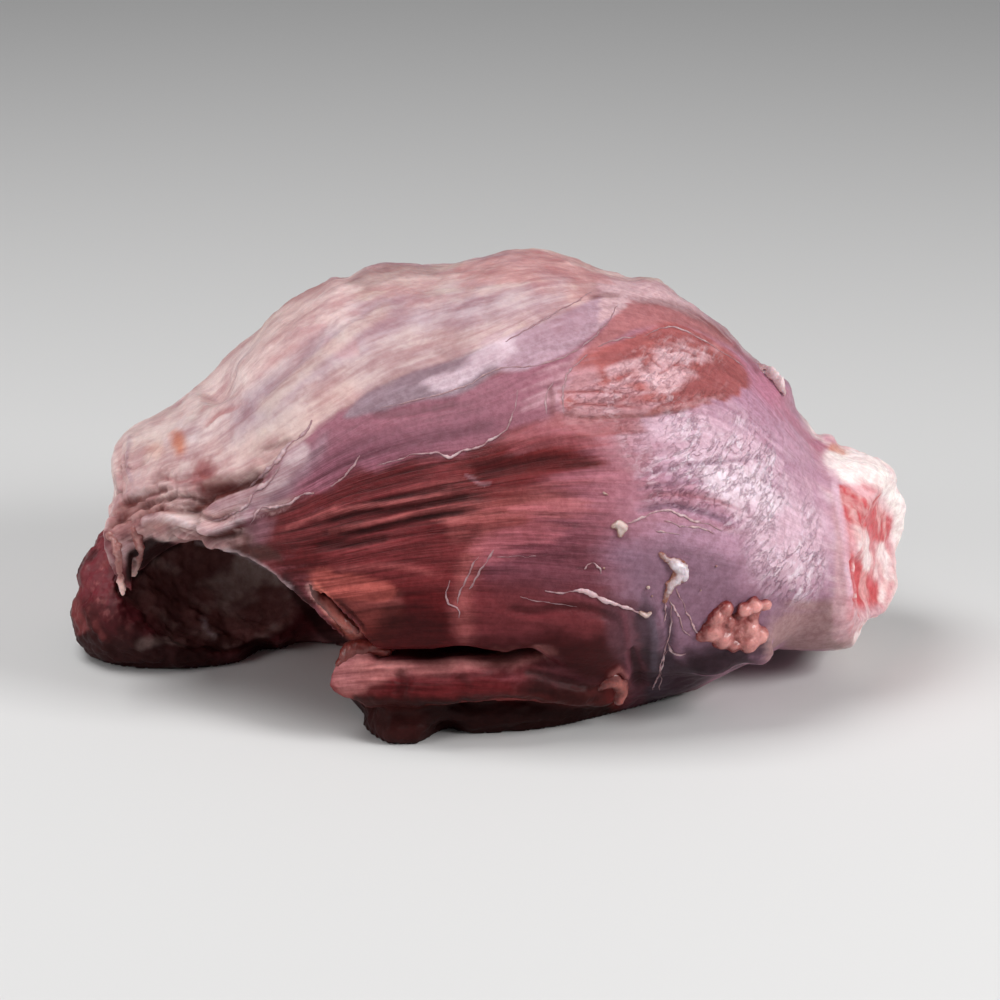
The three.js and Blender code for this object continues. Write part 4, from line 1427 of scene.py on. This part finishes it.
def softFatMaterial(name, look):  # darker where it joins the meat, partly painted shade, and paler on top, partly painted highlight
    material, tree, shader = newMaterial(name)
    inMm = placeInMm(tree)
    mottle = noiseAt(tree, inMm, (0.45, 0.45, 0.45), 4.0, 0.6, 0.4)
    rise = ramp(tree, layer(tree, "standing", "Fac"), look["standing"] * 0.15, look["standing"])
    share = plus(tree, rise, times(tree, calculate(tree, "SUBTRACT", mottle, 0.5), 1.2))
    colour = mixColour(tree, "MIX", calculate(tree, "MAXIMUM", share, 0.0, clamp=True),
                       (*toLinear(look["low"]), 1), (*toLinear(look["high"]), 1))
    fine = noiseAt(tree, inMm, (1.1, 1.1, 1.1), 3.0)
    bump = addNode(tree, "ShaderNodeBump", {"Strength": 0.5, "Distance": 0.0006, "Height": fine})
    tree.links.new(colour, shader.inputs["Base Color"])
    roughness = mixValue(tree, fine, look["roughness"], look["roughness"] + 0.2)
    tree.links.new(roughness, shader.inputs["Roughness"])
    tree.links.new(bump.outputs[0], shader.inputs["Normal"])
    setFinish(shader, softFinish)
    return material


# Thin edges of skin on the meat: half width and thickness in mm, and the line in the camera's frame
membraneEdges = {
    "flankLeft": (0.46, 0.33, [
        (250, 525), (257, 512), (264, 507), (276, 507), (288, 503), (300, 496), (314, 493)]),
    "flankMiddle": (0.31, 0.24, [(330, 486), (342, 478), (352, 466), (361, 456)]),
    "flankRight": (0.31, 0.27, [
        (377, 465), (392, 461), (405, 457), (422, 453), (437, 453), (451, 458), (462, 452), (480, 446),
        (494, 438), (503, 432), (511, 420), (515, 405), (518, 390)]),
    "coverFringe": (0.75, 0.28, [(246, 490), (260, 477), (276, 462), (290, 444), (303, 434), (312, 420)]),
    "coverFringeLow": (0.6, 0.3, [(212, 522), (230, 516), (246, 505), (256, 492), (270, 480), (280, 466)]),
    "ovalTop": (0.34, 0.18, [(505, 341), (525, 331), (548, 317), (571, 304), (592, 292)]),
    "bandEdge": (0.34, 0.18, [
        (380, 408), (418, 400), (464, 387), (498, 369), (533, 366), (562, 357), (587, 343), (606, 324),
        (618, 306)]),
    "patchTop": (0.28, 0.21, [(598, 347), (619, 339), (636, 337)]),
    "patchRim": (0.31, 0.24, [(644, 337), (661, 328), (682, 330), (707, 343), (730, 357), (746, 369)]),
    "uprightLeft": (0.31, 0.18, [(553, 380), (547, 394), (547, 414)]),
    "uprightRight": (0.31, 0.21, [(588, 355), (574, 366), (565, 380), (562, 396), (564, 414)]),
    "bellyEdge": (0.46, 0.42, [
        (545, 591), (563, 593), (577, 590), (586, 591), (598, 597), (608, 602), (620, 606), (631, 609),
        (643, 615)]),
    "bellyThin": (0.19, 0.18, [(520, 597), (534, 600), (556, 604), (577, 607)]),
    "bellyCurl": (0.28, 0.3, [(584, 569), (588, 564), (594, 563), (599, 568), (600, 574)]),
    "levelThread": (0.15, 0.15, [(497, 556), (515, 556), (536, 557)]),
    "slantOne": (0.34, 0.18, [(494, 550), (486, 561), (479, 572), (469, 589)]),
    "slantTwo": (0.25, 0.18, [(478, 556), (470, 572), (461, 592), (458, 604)]),
    "slantThree": (0.22, 0.18, [(449, 580), (447, 592), (449, 602), (456, 608), (459, 618)]),
    "roundRidge": (0.43, 0.36, [
        (628, 523), (640, 518), (652, 514), (667, 511), (682, 515), (694, 521), (709, 525), (722, 530)]),
    "roundRidgeLow": (0.34, 0.3, [(664, 521), (682, 526), (698, 527), (714, 533)]),
    "roundRidgeLast": (0.25, 0.24, [(655, 531), (666, 532), (680, 534)]),
    "shredStrand": (0.31, 0.36, [(668, 598), (674, 608), (679, 617), (684, 630), (691, 637)]),
    "shredStrandLeft": (0.31, 0.3, [(664, 602), (665, 612), (664, 624)]),
    "seamThread": (0.34, 0.36, [(676, 588), (684, 604), (692, 622), (700, 636)]),
    "seamCurl": (0.3, 0.3, [(672, 604), (670, 624), (666, 646), (662, 668), (660, 690)]),
    "seamWisp": (0.37, 0.3, [(668, 643), (672, 651), (678, 655), (686, 654)]),
    "seamLong": (0.28, 0.24, [(667, 650), (662, 662), (658, 676), (652, 690)]),
}
membraneLook = {
    "low": (150, 108, 114),  # colours where it joins the meat and where it stands highest, partly painted shade and painted highlight
    "high": (206, 174, 178),
    "standing": 0.5,  # how far it stands out where it is palest, in mm
    "roughness": 0.35,
    "growing": {"bellyEdge": 1.6},  # edges that widen towards their end, and how much
    "thinnest": 0.12,
    "sides": 8,
    "seed": 200,
}


def filmStrip(cage, strip, growth, seed):  # one thin edge of skin, as a flat closed tube along the meat
    wide, thick, line = strip
    stations = [found for found in map(landOn, curved(line, steps=9)) if found is not None]
    if len(stations) < 3:
        return
    places = np.array([place for place, _ in stations])
    outward = np.array([normal for _, normal in stations])
    along = np.gradient(places, axis=0)
    along /= np.linalg.norm(along, axis=1)[:, None]
    aside = np.cross(along, outward)
    aside /= np.maximum(np.linalg.norm(aside, axis=1)[:, None], 1e-6)
    share = np.linspace(0, 1, len(places))
    taper = np.sin(np.pi * np.clip(share * 0.94 + 0.03, 0, 1)) ** 0.5
    taper *= 1 + (growth - 1) * share
    uneven = 0.8 + 1.3 * roughNoise(places, 1.8, seed)
    wander = roughNoise(places, 2.6, seed + 7)[:, None] * 0.8
    places = places + aside * wander
    sides = membraneLook["sides"]
    rings = []
    widths = np.maximum(taper * uneven, membraneLook["thinnest"])
    for place, out, side, width in zip(places, outward, aside, widths):
        ring = []
        for turn in np.arange(sides) * 2 * math.pi / sides:
            corner = place + side * math.cos(turn) * wide * width
            corner = corner + out * (math.sin(turn) * 0.8 + 0.35) * thick * width
            ring.append(cage.verts.new(Vector(corner) * mm))
        rings.append(ring)
    for ring, following in zip(rings[:-1], rings[1:]):
        for i in range(sides):
            cage.faces.new((ring[i], ring[(i + 1) % sides], following[(i + 1) % sides], following[i]))
    cage.faces.new(rings[0][::-1])
    cage.faces.new(rings[-1])


def makeMembraneEdges():
    cage = bmesh.new()
    for seed, (name, strip) in enumerate(membraneEdges.items(), start=membraneLook["seed"]):
        filmStrip(cage, strip, membraneLook["growing"].get(name, 1.0), seed)
    bmesh.ops.recalc_face_normals(cage, faces=cage.faces)
    mesh = bpy.data.meshes.new("membrane_edges")
    cage.to_mesh(mesh)
    cage.free()
    mesh.shade_smooth()
    addStanding(mesh)
    return newPiece("membrane_edges", mesh)


dress(makeMembraneEdges(), softFatMaterial("membrane", membraneLook))
print("membranes laid")

# The soft lumps that stand on the meat or hang from it. A chain is beads melted together: the place of each
# bead in the camera's frame, its radius in mm and how far out of the meat it stands. The net is the width of
# the faces and lumps is the height of the unevenness. The rest is the look, as for the membranes.
softLumps = {
    "loose_fat": {
        "net": 0.5, "seed": 301, "lumps": 1.3,
        "low": (120, 26, 22), "high": (230, 158, 152), "standing": 4.4, "roughness": 0.35,
        "chains": [
            [(702, 636, 2.2, 0.5)], [(712, 630, 3.6, 1.2)], [(722, 638, 3.4, 1.3)], [(716, 617, 2.8, 1.4)],
            [(725, 608, 2.2, 1.2)], [(728, 622, 3.0, 0.6)], [(736, 632, 3.2, 0.6)], [(740, 619, 2.6, 0.6)],
            [(742, 608, 2.3, 2.0)], [(752, 603, 2.4, 2.4)], [(762, 602, 1.8, 2.4)], [(752, 614, 2.2, 1.4)],
            [(749, 626, 3.3, 1.6)], [(758, 634, 2.9, 1.8)], [(747, 643, 3.0, 1.5)], [(734, 645, 2.4, 1.0)],
        ],
    },
    "white_shred": {
        "net": 0.32, "seed": 311, "lumps": 1.8,
        "low": (140, 84, 66), "high": (222, 208, 216), "standing": 2.0, "roughness": 0.3,
        "chains": [
            [(660, 553, 0.5, 0.4), (665, 559, 0.8, 0.7), (671, 562, 1.3, 0.9), (677, 564, 1.8, 1.0),
             (682, 568, 2.2, 1.0), (683, 576, 1.7, 0.9)],
            [(680, 570, 1.8, 0.8), (676, 580, 1.4, 0.6), (670, 584, 1.4, 0.6), (668, 592, 1.2, 0.5),
             (665, 600, 0.7, 0.3)],
        ],
    },
    "pale_knots": {
        "net": 0.32, "seed": 321, "lumps": 1.0,
        "low": (140, 96, 84), "high": (214, 190, 184), "standing": 1.2, "roughness": 0.3,
        "chains": [
            [(614, 526, 0.9, 0.3), (619, 524, 1.3, 0.6), (624, 527, 1.3, 0.6), (621, 530, 1.3, 0.4),
             (620, 535, 0.8, 0.3)],
            [(640, 612, 0.8, 0.4), (646, 616, 0.9, 0.6), (650, 613, 0.7, 0.4)],
            [(648, 587, 0.7, 0.5)],
            [(604, 568, 0.5, 0.4)],
            [(700, 590, 0.6, 0.5)],
            [(716, 566, 0.5, 0.4)],
            [(604, 493, 0.5, 0.5), (608, 495, 0.4, 0.4)],
            [(652, 596, 0.5, 0.4)],
        ],
    },
    "hanging_cords": {
        "net": 0.38, "seed": 331, "lumps": 1.9,
        "low": (150, 92, 88), "high": (226, 184, 178), "standing": 2.6, "roughness": 0.4,
        "chains": [
            [(103, 524, 1.8, -1.2), (110, 534, 1.7, -0.4), (116, 546, 1.5, 0.1), (119, 560, 1.4, 0.3),
             (121, 576, 1.3, 0.4), (123, 592, 1.0, 0.4)],
            [(128, 524, 1.8, -1.2), (136, 535, 1.6, -0.3), (140, 548, 1.4, 0.1), (138, 561, 1.3, 0.3),
             (132, 573, 1.1, 0.4)],
        ],
    },
    "skirt_nub": {
        "net": 0.45, "seed": 351, "lumps": 1.2,
        "low": (104, 34, 30), "high": (190, 108, 98), "standing": 3.4, "roughness": 0.35,
        "chains": [
            [(599, 691, 1.3, -0.6), (606, 684, 1.9, 0.1), (613, 679, 2.3, 0.5), (619, 683, 2.5, 0.7),
             (621, 691, 2.4, 0.7), (619, 699, 1.9, 0.4)],
        ],
    },
    "skirt_wedge": {
        "net": 0.5, "seed": 361, "lumps": 1.8,
        "low": (112, 38, 32), "high": (186, 88, 78), "standing": 5.0, "roughness": 0.35,
        "chains": [
            [(338, 662, 2.0, 0.0), (344, 655, 2.5, 0.0), (352, 648, 2.7, 0.0), (362, 645, 2.6, 0.0),
             (374, 648, 2.2, 0.0), (386, 652, 1.8, 0.0)],
        ],
    },
    "lip_roll": {
        "net": 0.5, "seed": 371, "lumps": 1.6,
        "low": (92, 32, 28), "high": (160, 80, 70), "standing": 2.6, "roughness": 0.34,
        "chains": [
            [(310, 586, 1.0, -0.3), (319, 596, 1.7, -0.2), (329, 606, 2.1, -0.4), (339, 616, 2.1, -0.7),
             (349, 625, 1.6, -0.9), (357, 631, 1.0, -1.0)],
        ],
    },
    "edge_flap": {
        "net": 0.4, "seed": 341, "lumps": 1.0,
        "low": (170, 128, 134), "high": (226, 204, 206), "standing": 3.0, "roughness": 0.35,
        "chains": [
            [(757, 363, 0.5, 0.1), (763, 369, 0.6, 1.4), (770, 377, 0.6, 3.0), (777, 386, 0.6, 3.2),
             (782, 395, 0.5, 1.2)],
            [(758, 365, 0.5, 0.1), (765, 372, 0.6, 1.0), (772, 380, 0.6, 2.0), (778, 389, 0.6, 2.0),
             (782, 396, 0.5, 0.8)],
            [(759, 367, 0.5, 0.0), (766, 375, 0.6, 0.4), (773, 383, 0.6, 1.0), (779, 392, 0.6, 0.8)],
        ],
    },
}

jumpLimit = 9.0  # a bead that lands further than this from the last one hangs free, as near as that one
melting = {
    "balls": 6,  # from one bead to the next
    "sunk": 0.4,  # share of its radius that a bead sinks into the meat
    "passes": 3,
    "softness": 0.5,
}


def beadsOf(chain):  # where the chain's beads sit, in mm, and their radii
    beads = []
    for across, down, radius, out in chain:
        landed = landOn((across, down))
        ray = rayThrough((across, down))
        if landed is not None:
            place = landed[0] + landed[1] * (out - radius * melting["sunk"])
        if beads and (landed is None or np.linalg.norm(place - beads[-1][0]) > jumpLimit):
            place = eye + ray * (((beads[-1][0] - eye) @ ahead) / (ray @ ahead))
        elif landed is None:
            continue
        beads.append((place, radius))
    return beads if len(beads) > 1 else beads * 2


def beadedLump(name, lump):  # chains of beads melted into one soft form
    cage = bmesh.new()
    for chain in lump["chains"]:
        beads = beadsOf(chain)
        for (start, first), (end, last) in zip(beads[:-1], beads[1:]):
            for share in np.linspace(0, 1, melting["balls"]):
                middle = start + (end - start) * share
                radius = (first + (last - first) * share) * mm
                ball = bmesh.ops.create_icosphere(cage, subdivisions=2, radius=radius)
                bmesh.ops.translate(cage, verts=ball["verts"], vec=Vector(middle) * mm)
    mesh = bpy.data.meshes.new(name)
    cage.to_mesh(mesh)
    cage.free()
    made = remeshed(mesh, lump["net"], name)
    places = placesOf(made)
    softness = np.full(len(places), melting["softness"])
    places = relaxed(places, edgesOf(made), softness, melting["passes"])
    setPlaces(made, places)
    uneven = roughNoise(places, 3.4, lump["seed"]) * 0.5 + roughNoise(places, 1.5, lump["seed"] + 3) * 0.3
    setPlaces(made, places + normalsOf(made) * (uneven * lump["lumps"])[:, None])
    made.shade_smooth()
    addStanding(made)
    return newPiece(name, made)


for name, lump in softLumps.items():
    dress(beadedLump(name, lump), softFatMaterial(name.replace("_", " "), lump))
    print("laid", name)

studio = {
    "floorSize": 6.0,
    "floorDrop": 0.0002,  # the floor lies this much under the meat, in metres
    "floorTint": (0.66, 0.655, 0.65, 1),
    "floorRoughness": 0.8,
    "sky": 0.14,
    "skyTint": (0.95, 0.97, 1.0, 1),
    "aim": (0, 0, 0.05),
    "lamps": {  # where each stands in metres, its size and its power
        "key": {"from": (0.85, -0.42, 0.62), "size": 0.36, "power": 9},
        "top": {"from": (-0.4, -0.1, 1.1), "size": 0.6, "power": 8.4},
        "fill": {"from": (-1.0, -0.55, 0.6), "size": 0.6, "power": 4.5},
    },
}


def makeFloor():
    cage = bmesh.new()
    bmesh.ops.create_grid(cage, x_segments=8, y_segments=8, size=studio["floorSize"] / 2)
    mesh = bpy.data.meshes.new("floor")
    cage.to_mesh(mesh)
    cage.free()
    floor = newPiece("floor", mesh)
    floor.location.z = -studio["floorDrop"]
    material, _, shader = newMaterial("pale floor")
    setFinish(shader, {"Base Color": studio["floorTint"], "Roughness": studio["floorRoughness"]})
    mesh.materials.append(material)


def addLight(name, light):
    lamp = bpy.data.lights.new(name, "AREA")
    lamp.size = light["size"]
    lamp.energy = light["power"]
    holder = bpy.data.objects.new(name, lamp)
    holder.location = light["from"]
    holder.rotation_mode = "QUATERNION"
    toLeg = Vector(studio["aim"]) - Vector(light["from"])
    holder.rotation_quaternion = toLeg.to_track_quat("-Z", "Y")
    scene.collection.objects.link(holder)


def makeLight():
    world = bpy.data.worlds.new("sky")
    scene.world = world
    world.use_nodes = True
    sky = world.node_tree.nodes["Background"]
    sky.inputs["Color"].default_value = studio["skyTint"]
    sky.inputs["Strength"].default_value = studio["sky"]
    for name, light in studio["lamps"].items():
        addLight(name, light)
    scene.view_settings.view_transform = "Standard"


makeFloor()
makeLight()
print("floor and light set")
